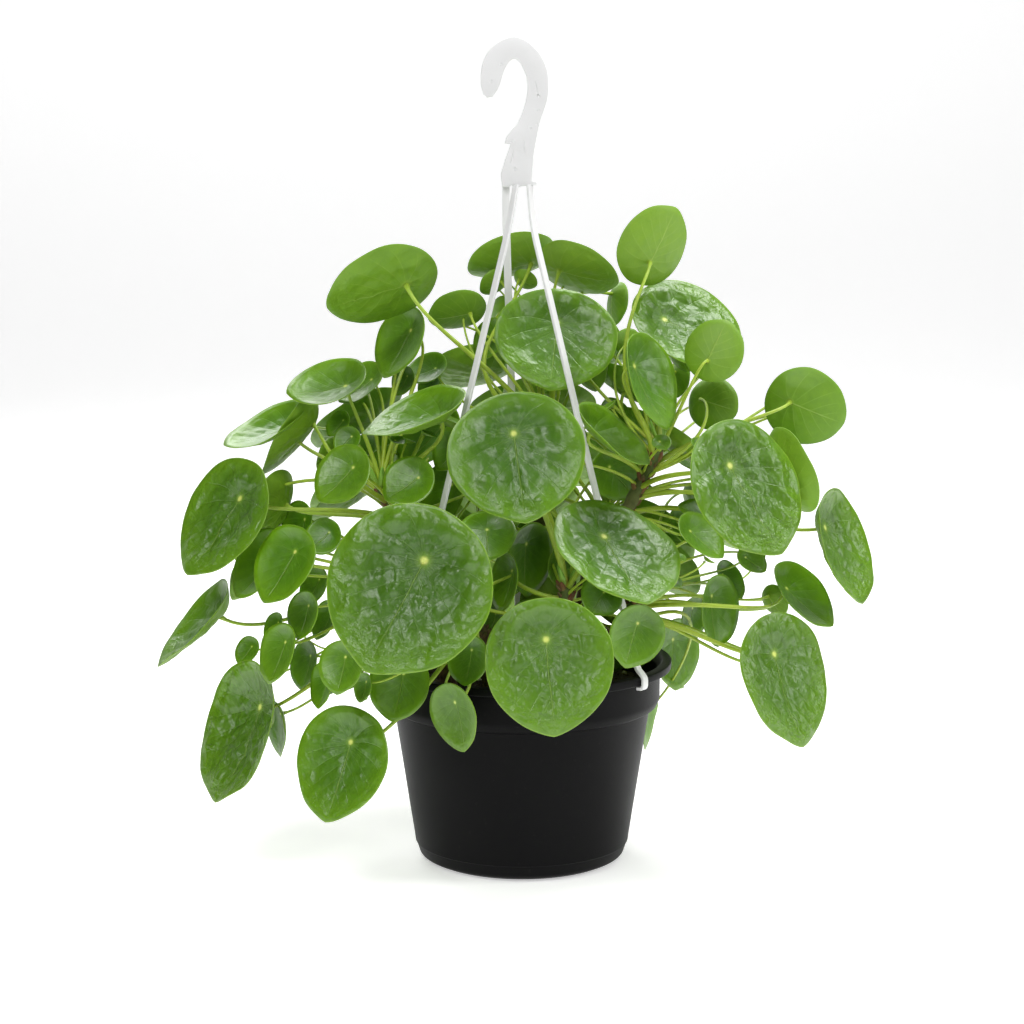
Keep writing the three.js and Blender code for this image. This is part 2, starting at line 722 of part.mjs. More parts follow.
// True where the shown blades or the pot hide all of a blade in the view.
function hiddenInView(leaf) {
  return RIM_ANGLES.every((angle) => {
    const [u, v] = pixelOf(rimPoint(leaf, angle));
    const across = (u - HIDDEN_OVAL.u) / HIDDEN_OVAL.across;
    const high = (v - HIDDEN_OVAL.v) / HIDDEN_OVAL.high;
    const pot = u > HIDDEN_BY_POT.left && u < HIDDEN_BY_POT.right
      && v > HIDDEN_BY_POT.top && v < HIDDEN_BY_POT.bottom;
    return Math.hypot(across, high) < 1 || pot;
  });
}

// The blades of the back, each on the stem whose crown is nearest.
function placeBackBlades(placed, straps, trunks) {
  const fixed = [...straps, ...trunks];
  const crowns = Object.entries(STEMS).map(([stem, { crown }]) => [stem, new THREE.Vector3(...crown)]);
  let count = 0;
  for (let place = 0; place < BACK_PLACES && count < BACK_MOST; place += 1) {
    const leaf = backBlade(place);
    const dot = dotOf(leaf);
    if (leaf.centre.y > BACK_FRONT_LIMIT && hiddenInView(leaf) && potGap(leaf) > POT_CLEARANCE
      && placed.every((other) => bladesGap(leaf, other.leaf) > BLADE_CLEARANCE)
      && fixed.every((point) => gapToBlade(leaf, point) > BLADE_CLEARANCE + STRAP_CLEARANCE)) {
      crowns.sort((a, b) => a[1].distanceTo(dot) - b[1].distanceTo(dot));
      placed.push({ stem: crowns[0][0], leaf, back: true });
      count += 1;
    }
  }
}

// How far the points of a stalk are from its neighbours: blades, and points with a radius.
function stalkGap(course, leaf, others, points) {
  return Math.min(...course.slice(2).map((point, k) => {
    const out = Math.hypot(point.x, point.y);
    const inLip = point.z < POT_HEIGHT + POT_CLEARANCE
      && out > LIP_RADIUS - LIP_RING - POT_CLEARANCE && out < LIP_RADIUS + POT_CLEARANCE;
    return inLip ? 0 : Math.min(
      ...others.map((other) => gapToBlade(other, point)),
      ...points.map(([other, radius]) => other.distanceTo(point) - radius),
      k > 8 ? Infinity : gapToBlade(leaf, point) + 1,
    );
  }));
}

// The stalks, each bent the first way that is clear of the other stems and of all blades.
function placeStalks(placed, straps, curves) {
  const courses = Object.entries(curves).map(([stem, curve]) => ({
    stem, radius: TRUNK_TIP_RADIUS + 1, points: curve.getPoints(20),
  }));
  const stalks = [];
  for (const [stem, curve] of Object.entries(curves)) {
    const own = placed.filter((one) => one.stem === stem)
      .sort((a, b) => dotOf(a.leaf).z - dotOf(b.leaf).z);
    own.forEach(({ leaf, back }) => {
      const root = stalkRoot(curve, leaf);
      const others = placed.filter((one) => one.leaf !== leaf).map((one) => one.leaf);
      const points = [
        ...straps.map((point) => [point, 0.5 * STRAP_WIDTH + 1]),
        ...courses.filter((one) => one.stem !== stem)
          .flatMap((one) => one.points.map((point) => [point, one.radius])),
      ];
      let best = null;
      for (const lead of LEADS) {
        for (const lift of LIFTS) {
          for (const swing of SWINGS) {
            if (best && best.gap > STALK_CLEARANCE) {
              break;
            }
            const stalk = stalkCurve(root, leaf, lift, swing, lead);
            const course = stalk.getPoints(12);
            const gap = stalkGap(course, leaf, others, points);
            if (!best || gap > best.gap) {
              best = { gap, stalk, course };
            }
          }
        }
      }
      if (best.gap > STALK_LEAST || !back) {
        stalks.push({ stem, leaf, ...best });
        courses.push({ stem, radius: STALK_ROOT_RADIUS, points: best.course });
      }
    });
  }
  return stalks;
}

// ---------------------------------------------------------------- blades, stalks and trunks as solids

// Small blades have fewer sides. The count divides by the three sides of a stalk.
function sidesOf({ length }) {
  if (length > 68) {
    return 15;
  }
  return length > 36 ? 12 : 9;
}

// A blade with its stalk as one closed surface: the domed top, the edge, the underside round
// the stalk, and the stalk down to its root.
function leafGeometry(leaf, course) {
  const sides = sidesOf(leaf);
  const dot = dotOf(leaf);
  const points = [dot];
  for (const level of [0, -BLADE_THICKNESS]) {
    for (const angle of anglesRound(sides)) {
      points.push(rimPoint(leaf, angle).addScaledVector(leaf.normal, level));
    }
  }
  let side = leaf.along;
  const down = [...course].reverse();
  down.forEach((point, i) => {
    const before = down[Math.max(i - 1, 0)];
    const after = down[Math.min(i + 1, down.length - 1)];
    const tangent = i === 0 ? leaf.normal.clone().negate() : after.clone().sub(before).normalize();
    side = side.clone().addScaledVector(tangent, -side.dot(tangent)).normalize();
    const other = side.clone().cross(tangent);
    const radius = THREE.MathUtils.lerp(STALK_TIP_RADIUS, STALK_ROOT_RADIUS, i / (down.length - 1));
    for (let s = 0; s < 3; s += 1) {
      const angle = (2 * Math.PI * (s + 0.5)) / 3;
      points.push(point.clone()
        .addScaledVector(side, radius * Math.cos(angle))
        .addScaledVector(other, radius * Math.sin(angle)));
    }
  });
  const faces = [];
  const ring = (i, s) => 1 + 2 * sides + 3 * i + (s % 3);
  for (let i = 0; i < sides; i += 1) {
    const a = 1 + i;
    const b = 1 + ((i + 1) % sides);
    const under = a + sides;
    const underNext = b + sides;
    const s = Math.floor((3 * i) / sides);
    faces.push(0, a, b, a, under, underNext, a, underNext, b, under, ring(0, s), underNext);
  }
  for (let s = 0; s < 3; s += 1) {
    const between = 1 + sides + (((s + 1) * sides) / 3) % sides;
    faces.push(ring(0, s), ring(0, s + 1), between);
    for (let i = 0; i + 1 < down.length; i += 1) {
      faces.push(ring(i, s), ring(i + 1, s), ring(i + 1, s + 1));
      faces.push(ring(i, s), ring(i + 1, s + 1), ring(i, s + 1));
    }
  }
  const root = down.length - 1;
  faces.push(ring(root, 0), ring(root, 2), ring(root, 1));
  return indexed(points, faces);
}

// One leafy stem in one piece: the trunk from its buried foot, its stalks and its blades. A
// scrap that the union leaves where two blades cross is dropped.
function growStem(curve, stalks) {
  const foot = curve.getPoint(0).addScaledVector(UP, -TRUNK_BURIED);
  const course = [foot, ...curve.getPoints(TRUNK_STEPS)];
  const solids = [solidOf(rod(course, TRUNK_RADIUS, TRUNK_TIP_RADIUS, 6))];
  for (const { stalk, leaf } of stalks) {
    solids.push(solidOf(leafGeometry(leaf, stalk.getPoints(STALK_STEPS))));
  }
  const pieces = wasm.Manifold.union(solids).decompose();
  return pieces.sort((a, b) => b.volume() - a.volume())[0];
}

// ---------------------------------------------------------------- the scene graph

const FINISHES = {
  pot: { color: 0x1b1c1e, roughness: 0.42, metalness: 0 },
  soil: { color: 0x2b1c12, roughness: 0.95, metalness: 0 },
  hanger: { color: 0xf4f5f7, roughness: 0.35, metalness: 0 },
  leaf: { color: 0x4d8a2c, roughness: 0.45, metalness: 0 },
};

const plant = new THREE.Group();

function add(name, solid, finish) {
  const mesh = new THREE.Mesh(geometryOf(solid), new THREE.MeshStandardMaterial(FINISHES[finish]));
  mesh.name = name;
  plant.add(mesh);
}

add('pot', makePot(), 'pot');
add('soil', makeSoil(), 'soil');
add('hook', makeHook(), 'hanger');
for (const [name, arm] of Object.entries(ARMS)) {
  add(name, makeArm(arm), 'hanger');
}
const straps = strapPoints();
const curves = Object.fromEntries(
  Object.entries(STEMS).map(([name, stem]) => [name, trunkCurve(stem)]),
);
const trunkPoints = Object.values(curves).flatMap((curve) => curve.getPoints(20));
const placed = placeShownBlades(straps, trunkPoints);
placeBackBlades(placed, straps, trunkPoints);
const stalks = placeStalks(placed, straps, curves);
for (const [name, curve] of Object.entries(curves)) {
  add(name, growStem(curve, stalks.filter((one) => one.stem === name)), 'leaf');
}

export default plant;
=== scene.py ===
# %% [markdown]
# # A round-leaved pilea in a black hanging pot
#
# The real plant is a handful of woody trunks in a nursery pot. Each trunk carries a fan of
# thin yellow-green stalks, and each stalk holds one round blade by a yellow dot that lies a
# little off its middle. A white hanger clips over the pot's lip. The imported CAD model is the
# frame: it fixes where every piece is, and this script gives each piece its finish.

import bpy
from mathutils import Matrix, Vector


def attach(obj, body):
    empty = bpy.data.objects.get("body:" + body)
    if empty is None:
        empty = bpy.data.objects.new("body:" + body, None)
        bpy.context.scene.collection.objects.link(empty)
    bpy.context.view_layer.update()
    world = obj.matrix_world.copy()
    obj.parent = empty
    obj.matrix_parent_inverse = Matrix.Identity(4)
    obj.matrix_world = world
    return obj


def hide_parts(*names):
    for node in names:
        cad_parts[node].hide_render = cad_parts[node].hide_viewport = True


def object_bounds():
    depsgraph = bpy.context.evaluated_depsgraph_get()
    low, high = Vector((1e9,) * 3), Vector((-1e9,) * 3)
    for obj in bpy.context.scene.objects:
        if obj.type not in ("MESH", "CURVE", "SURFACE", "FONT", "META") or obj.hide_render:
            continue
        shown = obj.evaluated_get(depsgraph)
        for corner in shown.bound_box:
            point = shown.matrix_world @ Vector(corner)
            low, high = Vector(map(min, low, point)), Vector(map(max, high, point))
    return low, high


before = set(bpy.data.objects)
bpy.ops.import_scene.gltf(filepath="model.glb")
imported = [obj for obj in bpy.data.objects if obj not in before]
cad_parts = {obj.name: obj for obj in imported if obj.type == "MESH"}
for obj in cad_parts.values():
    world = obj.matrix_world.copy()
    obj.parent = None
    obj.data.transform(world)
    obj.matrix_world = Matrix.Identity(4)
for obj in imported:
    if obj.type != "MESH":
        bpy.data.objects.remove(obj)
cad_box = [list(corner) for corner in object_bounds()]
print("frame:", sorted(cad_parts))

# %% Tools
import itertools
import math

import bmesh
import bpy
import numpy as np
from mathutils import Euler, Matrix, Vector, noise

MM = 0.001
UP = np.array([0.0, 0.0, 1.0])


def unit(vector):
    return vector / np.linalg.norm(vector)


def smooth(low, high, value):
    share = np.clip((value - low) / (high - low), 0, 1)
    return share * share * (3 - 2 * share)


def mix(a, b, share):
    return a + (b - a) * share


def add_object(name, data):
    """A new object in the scene that holds a mesh, a light or a camera."""
    made = bpy.data.objects.new(name, data)
    bpy.context.scene.collection.objects.link(made)
    return made


# %% [markdown]
# ## The reference view
#
# The plant is seen by a long lens from in front and a little above. The same view is used
# twice: it is the camera, and it is the way back from a place in the picture to a place in
# space. So it is written once, as plain numbers, before the camera is made from them.

# %% The view
IMAGE = 1024
FOCAL = 2333
EYE = np.array([-6, -1400, 412]) * MM
PITCH = math.radians(8.1)
SIGHT = np.array([0, math.cos(PITCH), -math.sin(PITCH)])
SIGHT_UP = np.array([0, math.sin(PITCH), math.cos(PITCH)])
SIGHT_RIGHT = np.array([1.0, 0, 0])


def seen_at(u, v, depth):
    """The point at pixel (u, v) in the plane y = depth."""
    ray = SIGHT + (u - IMAGE / 2) / FOCAL * SIGHT_RIGHT - (v - IMAGE / 2) / FOCAL * SIGHT_UP
    return EYE + ray * (depth - EYE[1]) / ray[1]


def seen_in_view(point):
    """The pixel at which a point is seen."""
    away = point - EYE
    scale = FOCAL / (away @ SIGHT)
    return IMAGE / 2 + away @ SIGHT_RIGHT * scale, IMAGE / 2 - away @ SIGHT_UP * scale


camera_data = bpy.data.cameras.new("camera")
camera_data.sensor_width = 36
camera_data.lens = camera_data.sensor_width * FOCAL / IMAGE
camera = add_object("camera", camera_data)
camera.location = EYE
camera.rotation_euler = (math.pi / 2 - PITCH, 0, 0)
bpy.context.scene.camera = camera
print("camera lens in mm:", round(camera_data.lens, 2))

# %% [markdown]
# ## What grows where
#
# Each stem has a foot in the soil and a crown, both in millimetres. Each blade is written as
# the view shows it: the pixel of its tip, the pixel of the opposite end, its breadth in
# pixels, the depth of its middle in millimetres, and the face that is seen, 1 for the upper
# and -1 for the underside. A broad blade adds its width as a share of its length, and a blade
# turned two ways adds how much longer it is than it looks. The CAD model uses the same rows.

# %% The stems
STEMS = {
    "stem_right_high": {
        "foot": (34, 6), "crown": (84, -2, 255),
        "blades": [
            [675, 206, 631, 282, 65, 20, -1],
            [745, 353, 635, 296, 76, 12, 1],
            [728, 320, 702, 380, 60, -14, -1],
            [670, 431, 638, 332, 44, -30, 1],
            [845, 424, 768, 389, 77, 20, -1],
            [782, 555, 716, 423, 104, -62, 1],
            [775, 427, 812, 512, 40, -8, -1],
            [864, 605, 832, 488, 44, 14, 1],
            [724, 557, 682, 514, 32, -22, 1],
            [678, 505, 720, 512, 20, 10, 1],
            [738, 412, 690, 396, 54, 42, -1],
            [651, 464, 581, 402, 28, -46, 1],
            [636, 330, 618, 352, 26, 44, -1],
        ],
    },
    "stem_right_low": {
        "foot": (44, -22), "crown": (76, -30, 172),
        "blades": [
            [833, 626, 779, 562, 38, 8, 1],
            [802, 747, 773, 612, 84, -40, 1],
            [784, 616, 768, 585, 24, 22, -1],
            [719, 648, 722, 574, 38, -12, 1],
            [766, 571, 740, 548, 24, 2, 1],
            [675, 691, 681, 618, 44, 48, 1],
        ],
    },
    "stem_left_high": {
        "foot": (-38, 12), "crown": (-86, -8, 230),
        "blades": [
            [189, 576, 252, 460, 76, -30, 1],
            [237, 562, 287, 470, 40, 12, -1],
            [223, 446, 305, 402, 28, 2, 1],
            [263, 475, 315, 391, 21, 14, -1],
            [286, 394, 366, 368, 42, 22, 1],
            [338, 402, 380, 364, 30, 32, 1],
            [361, 433, 465, 389, 32, -42, 1],
            [382, 378, 414, 306, 44, 18, 1],
            [319, 502, 362, 448, 50, -62, 1],
            [384, 500, 430, 464, 48, -52, 1],
            [336, 452, 356, 428, 26, -12, 1],
            [328, 436, 346, 411, 20, 2, 1],
        ],
    },
    "stem_left_low": {
        "foot": (-44, -20), "crown": (-78, -28, 178),
        "blades": [
            [217, 803, 251, 660, 66, -42, 1],
            [157, 666, 226, 579, 22, 0, 1],
            [264, 603, 300, 526, 57, -70, 1],
            [236, 598, 276, 528, 40, -22, 1],
            [268, 684, 284, 622, 34, -50, 1],
            [281, 757, 268, 698, 18, -30, 1],
            [238, 664, 254, 637, 22, -10, 1],
            [266, 642, 278, 612, 16, -10, 1],
            [298, 640, 306, 590, 30, -64, 1],
            [308, 552, 336, 522, 36, -18, 1],
        ],
    },
    "stem_centre": {
        "foot": (4, 26), "crown": (18, 18, 255),
        "blades": [
            [325, 308, 436, 263, 70, 0, -1],
            [466, 268, 554, 243, 42, 62, -1],
            [619, 283, 538, 254, 48, 50, -1],
            [550, 391, 561, 288, 126, 4, 1, 1.12],
            [427, 318, 486, 302, 38, 42, -1],
            [404, 378, 446, 358, 28, 62, 1],
            [480, 292, 506, 272, 22, 64, -1],
            [537, 286, 515, 272, 18, 70, -1],
        ],
    },
    "stem_front_left": {
        "foot": (-18, -40), "crown": (-36, -54, 180),
        "blades": [
            [365, 673, 447, 511, 168, -150, 1],
            [326, 822, 353, 706, 92, -92, 1],
            [487, 560, 487, 510, 60, -62, 1],
            [392, 722, 404, 652, 62, -88, 1],
            [465, 752, 442, 684, 44, -106, 1],
            [336, 695, 344, 640, 44, -112, 1],
            [318, 709, 322, 662, 22, -62, 1],
            [360, 703, 364, 672, 18, -80, 1],
            [500, 612, 506, 552, 28, -44, 1],
            [464, 686, 470, 634, 42, -106, 1],
        ],
    },
    "stem_front_right": {
        "foot": (20, -42), "crown": (26, -54, 178),
        "blades": [
            [526, 524, 508, 392, 142, -112, 1, 1.05],
            [649, 603, 590, 498, 104, -92, 1, 0.95, 1.2],
            [555, 738, 545, 597, 132, -140, 1],
            [636, 498, 600, 452, 54, 0, 1],
            [625, 668, 648, 606, 56, -72, 1],
            [526, 598, 536, 522, 44, -30, 1],
            [590, 614, 612, 580, 44, -58, 1],
        ],
    },
    "stem_rear_left": {"foot": (-30, 44), "crown": (-52, 60, 205), "blades": []},
    "stem_rear_right": {"foot": (34, 42), "crown": (54, 62, 212), "blades": []},
}
print("blades in the view:", sum(len(stem["blades"]) for stem in STEMS.values()))

# %% [markdown]
# ## How a blade lies
#
# A blade is nearly a flat disc, so its outline in the view says how it is turned: the ratio
# of each measured length to the real one is the cosine of a turn. Four turns fit each
# outline, and the real one is the turn that shows the right face and looks outwards and up.

# %% A blade in space
BLADE_WIDTH_SHARE = 0.95
BLADE_THICKNESS = 1.2 * MM
CUP_YOUNG = 0.16
CUP_LOSS = 1.1
CUP_LEAST = 0.045
TIP_POINT = 0.035
DOT_SHARE = 0.30
HEART = np.array([0, 10, 190]) * MM


class Blade:
    """The plane, the size and the yellow dot of one blade."""

    def __init__(self, centre, length, width, along, normal):
        self.centre, self.length, self.width = centre, length, width
        self.along, self.normal = along, normal
        self.across = np.cross(normal, along)
        self.tip_point = TIP_POINT
        self.bowl = self.cup = length * max(CUP_LEAST, CUP_YOUNG - CUP_LOSS * length)
        self.dot_x = (DOT_SHARE - 0.5) * length
        self.dot = self.place(self.dot_x, 0.0, -self.cup)

    def place(self, x, y, height):
        """Points given in the blade's own plane, and their height over it, in space."""
        x, y, height = (np.asarray(value)[..., None] for value in (x, y, height))
        return self.centre + x * self.along + y * self.across + height * self.normal

    def outline(self, angle, tip_point=TIP_POINT):
        """The outline in the blade's plane, by the angle from the tip."""
        angle = np.asarray(angle) % (2 * np.pi)
        from_tip = np.minimum(angle, 2 * np.pi - angle)
        point = tip_point * (np.exp(-((from_tip / 0.3) ** 2)) - 0.5)
        x = self.length * (0.5 * np.cos(angle) + point) / (1 + tip_point)
        y = 0.5 * self.width * np.sin(angle) * (1 - 0.06 * np.cos(angle))
        return x, y


def pose_blade(row, shift):
    tip_u, tip_v, end_u, end_v, breadth, depth, face = row[:7]
    width_share = row[7] if len(row) > 7 else BLADE_WIDTH_SHARE
    stretch = row[8] if len(row) > 8 else 1
    centre = seen_at((tip_u + end_u) / 2, (tip_v + end_v) / 2, (depth + shift) * MM)
    sight = unit(centre - EYE)
    scale = (centre - EYE) @ SIGHT / FOCAL
    right = unit(SIGHT_RIGHT - sight * sight[0])
    up = np.cross(right, sight)
    reach = math.hypot(tip_u - end_u, tip_v - end_v)
    share_u = (tip_u - end_u) / reach
    share_v = (tip_v - end_v) / reach
    rib = right * share_u - up * share_v
    broad = right * share_v + up * share_u
    length = scale * stretch * max(reach, breadth / width_share)
    width = length * width_share
    rib_cos = min(1, reach * scale / length)
    rib_sin = math.sqrt(1 - rib_cos**2)
    turn_cos = min(1, breadth * scale / width)
    turn_sin = math.sqrt(1 - turn_cos**2)
    outward = unit(centre - HEART) + 0.6 * UP
    best_score, best = None, None
    for away in (1, -1):
        for turn in (1, -1):
            along = rib * rib_cos + sight * away * rib_sin
            slope = sight * rib_cos - rib * away * rib_sin
            across = broad * turn_cos + slope * turn * turn_sin
            normal = np.cross(along, across)
            if (normal @ sight) * face > 0:
                normal = -normal
            score = normal @ outward
            if best is None or score > best_score + 1e-6:
                best_score, best = score, Blade(centre, length, width, along, normal)
    return best


# %% [markdown]
# ## Asking the frame
#
# In the CAD model each blade of the view may be moved a little along the line of sight, to
# clear its neighbours, and the hidden back is filled from a spiral of places. Which move and
# which places were taken is already fixed in the frame. So no search is repeated here: each
# candidate is laid over the CAD node, and the one whose rim falls on the node's own corners is
# the one that was taken.

# %% Blades found in the frame
SHIFTS = [0, 5, -5, 10, -10, 15, -15, 20, -20, 26, -26, 32, -32]
BACK_PLACES = 330
BACK_BOTTOM = 62
BACK_TOP = 322
BACK_PEAK = 334
BACK_SHOULDER = 190
BACK_RADIUS = 152
BACK_INWARD = 0.3
BACK_LAYERS = [1, 0.76, 0.94]
BACK_LENGTHS = (58, 88)
BACK_TILTS = (8, 66)
BACK_TWIST = 40
GOLDEN_ANGLE = math.pi * (3 - math.sqrt(5))
GOLDEN_SHARE = (math.sqrt(5) - 1) / 2
FOUND = 0.1 * MM
UNDER_TIP = 0.3

corners = {
    name: np.array([vertex.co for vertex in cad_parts[name].data.vertices])
    for name in STEMS
}


def misses(name, points):
    """The distance of each point from the nearest corner of a CAD node."""
    return np.linalg.norm(points[:, None] - corners[name][None], axis=2).min(axis=1)


def rim_sides(length):
    if length > 68 * MM:
        return 15
    return 12 if length > 36 * MM else 9


def rim_miss(name, leaf):
    sides = rim_sides(leaf.length)
    x, y = leaf.outline(2 * np.pi * np.arange(sides) / sides)
    return float(np.median(misses(name, leaf.place(x, y, 0 * x))))


def back_blade(place):
    high = (place + 0.5) / BACK_PLACES
    z = mix(BACK_BOTTOM, BACK_TOP, high)
    above = max(0, z - BACK_SHOULDER) / (BACK_PEAK - BACK_SHOULDER)
    below = max(0, BACK_SHOULDER - z)
    layer = BACK_LAYERS[place % len(BACK_LAYERS)]
    radius = layer * (BACK_RADIUS * math.sqrt(1 - above**2) - BACK_INWARD * below)
    turn = place * GOLDEN_ANGLE
    out = np.array([math.cos(turn), math.sin(turn), 0])
    centre = (out * radius + UP * z) * MM
    tilt = math.radians(mix(*BACK_TILTS, high))
    normal = out * math.cos(tilt) + UP * math.sin(tilt)
    twist = math.radians(BACK_TWIST * (2 * (place * GOLDEN_SHARE % 1) - 1))
    down = unit(normal * normal[2] - UP)
    along = down * math.cos(twist) + np.cross(normal, down) * math.sin(twist)
    length = mix(*BACK_LENGTHS, place * GOLDEN_SHARE**2 % 1) * MM
    return Blade(centre, length, length * BLADE_WIDTH_SHARE, along, normal)


blades = {}
worst = 0
for name, stem in STEMS.items():
    blades[name] = []
    for row in stem["blades"]:
        tried = [pose_blade(row, shift) for shift in SHIFTS]
        missed = [rim_miss(name, leaf) for leaf in tried]
        leaf = tried[int(np.argmin(missed))]
        if row[6] < 0:
            leaf.tip_point = UNDER_TIP * TIP_POINT
        blades[name].append(leaf)
        worst = max(worst, min(missed))
print("largest miss of a shown blade, mm:", round(worst / MM, 3))
for leaf in map(back_blade, range(BACK_PLACES)):
    for name in STEMS:
        if rim_miss(name, leaf) < FOUND:
            blades[name].append(leaf)
print("blades on each stem:", {name: len(found) for name, found in blades.items()})

# %% [markdown]
# ## Trunks and stalks as curves
#
# A trunk leans out of the soil to its crown. A stalk leaves the upper half of its trunk, swings
# to one side and meets its blade from below. Both are cubic Bezier curves, whose four points
# come from the feet, crowns and blades. Which bend each stalk took is asked of the frame as
# well: the corners of the CAD stalk lie at a known radius round its line.

# %% Curves
SOIL_TOP = 107
STALK_STEPS = 5
STALK_TIP_RADIUS = 1.25 * MM
STALK_ROOT_RADIUS = 1.9 * MM
ROOTS_ABOVE = 70 * MM
ROOTS_SPREAD = 190 * MM
LIFTS = [0.12, 0.32, 0.52, -0.08]
SWINGS = [0, 0.2, -0.2, 0.4, -0.4, 0.62, -0.62]
LEADS = [0.28, 0.44, 0.14]


def bezier(points, t):
    a, b, c, d = points
    t = np.asarray(t, float)[..., None]
    back = 1 - t
    return back**3 * a + 3 * back**2 * t * b + 3 * back * t**2 * c + t**3 * d


def trunk_points(stem):
    base = np.array([*stem["foot"], SOIL_TOP]) * MM
    top = np.array(stem["crown"]) * MM
    rise = top[2] - base[2]
    lean = mix(base, top, 0.6) + UP * 0.12 * rise
    return [base, base + UP * 0.35 * rise, lean, top]


def stalk_points(trunk, leaf, lift, swing, lead):
    above = leaf.dot[2] - trunk[3][2]
    share = min(max(1 + (above - ROOTS_ABOVE) / ROOTS_SPREAD, 0), 1)
    root = bezier(trunk, 0.5 + 0.48 * share)
    end = leaf.dot - leaf.normal * BLADE_THICKNESS
    span = np.linalg.norm(end - root)
    side = unit(np.cross(end - root, UP))
    rise = mix(root, end, 0.33) + UP * lift * span + side * swing * span
    meet = end - leaf.normal * lead * span + side * 0.4 * swing * span
    return [root, rise, meet, end]


def stalk_of(name, trunk, leaf):
    """The bend whose line has rings of three CAD corners round it, one radius away."""
    share = np.arange(1, STALK_STEPS) / STALK_STEPS
    radius = mix(STALK_ROOT_RADIUS, STALK_TIP_RADIUS, share)[:, None]
    best, least = None, math.inf
    for lead, lift, swing in itertools.product(LEADS, LIFTS, SWINGS):
        points = stalk_points(trunk, leaf, lift, swing, lead)
        reach = np.linalg.norm(bezier(points, share)[:, None] - corners[name], axis=2)
        ring_miss = np.partition(abs(reach - radius), 2, axis=1)[:, 2]
        miss = np.sort(ring_miss)[1]
        if miss < least:
            best, least = points, miss
    return best, least


trunks = {name: trunk_points(stem) for name, stem in STEMS.items()}
stalks = {}
worst = 0
for name, leaves in blades.items():
    found = [stalk_of(name, trunks[name], leaf) for leaf in leaves]
    stalks[name] = [points for points, _ in found]
    worst = max(worst, *(miss for _, miss in found))
print("largest miss of a stalk, mm:", round(worst / MM, 3))

# %% [markdown]
# ## Young blades and bowls
#
# The CAD model holds the ninety main blades. A real crown is fuller: small young blades on short
# stalks fill its heart. They are detail, so they are only here. Each tries several depths, and
# its stalk several bends, and the clearest is kept. None runs through the soil or the pot. Most
# blades are also deeper bowls than in the CAD model, with the rim where it was, so that one
# seen from the side shows its underside.

# %% Clearance
LIP_RADIUS = 91.5
POT_HEIGHT = 123
POT_INSIDE = 82
POT_CLEAR = 2.5
shown = [leaf for name, stem in STEMS.items() for leaf in blades[name][:len(stem["blades"])]]
shown_at = np.array([leaf.centre for leaf in shown])
shown_normal = np.array([leaf.normal for leaf in shown])
shown_along = np.array([leaf.along * 2 / leaf.length for leaf in shown])
shown_across = np.array([leaf.across * 2 / leaf.width for leaf in shown])
every_blade = [leaf for leaves in blades.values() for leaf in leaves]
every_stalk = [points for found in stalks.values() for points in found]


def gaps(points, leaves):
    """The least distance of any of the points from each blade, taken as a shallow cone."""
    centre, along, across, normal = (
        np.array([getattr(leaf, key) for leaf in leaves])
        for key in ("centre", "along", "across", "normal"))
    length, width, cup = (
        np.array([getattr(leaf, key) for leaf in leaves]) for key in ("length", "width", "cup"))
    away = np.asarray(points)[:, None] - centre
    x, y, height = ((away * way).sum(axis=2) for way in (along, across, normal))
    out = np.hypot(2 * x / length, 2 * y / width)
    beyond = np.maximum(out - 1, 0) * length / 2
    above = height + cup * np.maximum(1 - out, 0)
    return np.hypot(beyond, above).min(axis=0)


def blade_points(leaf):
    angle = 2 * np.pi * np.arange(16) / 16
    x, y = leaf.outline(angle)
    rim = leaf.place(x, y, 0 * x)
    return np.concatenate([rim, mix(leaf.dot, rim, 0.5), leaf.dot[None]])


def grow(name, leaf, points):
    """Gives a stem one more blade and the stalk that carries it."""
    blades[name].append(leaf)
    stalks[name].append(points)
    every_blade.append(leaf)
    every_stalk.append(points)


def in_pot(points):
    """The share of the points that lie in the soil, in the pot's wall or in its lip."""
    out, high = np.hypot(points[:, 0], points[:, 1]) / MM, points[:, 2] / MM
    low = (high < SOIL_TOP) | (high < POT_HEIGHT + POT_CLEAR) & (out > POT_INSIDE)
    return (low & (out < LIP_RADIUS + POT_CLEAR)).mean()


def clearance(leaf):
    """How far a new blade is from all blades and stalks that are there already."""
    if in_pot(blade_points(leaf)) > 0:
        return 0
    near = [other for other in every_blade
            if np.linalg.norm(other.centre - leaf.centre) < (other.length + leaf.length) / 2]
    gap = 20 * MM
    if near:
        gap = min(gap, gaps(blade_points(leaf), near).min())
        gap = min(gap, min(gaps(blade_points(other), [leaf]).min() for other in near))
    lines = np.concatenate([bezier(points, np.linspace(0, 1, 14)) for points in every_stalk])
    return min(gap, gaps(lines, [leaf]).min() - STALK_TIP_RADIUS)


def overlap(points):
    """The shares of the points that stand in front of and behind shown blades, in the view."""
    rays = np.asarray(points) - EYE
    reach = ((shown_at - EYE) * shown_normal).sum(axis=1) / (rays @ shown_normal.T)
    away = EYE + rays[:, None] * reach[..., None] - shown_at
    out = np.hypot((away * shown_along).sum(axis=2), (away * shown_across).sum(axis=2))
    inside = out < 0.96
    return [(inside & side).any(axis=1).mean() for side in (reach > 1, reach < 1)]


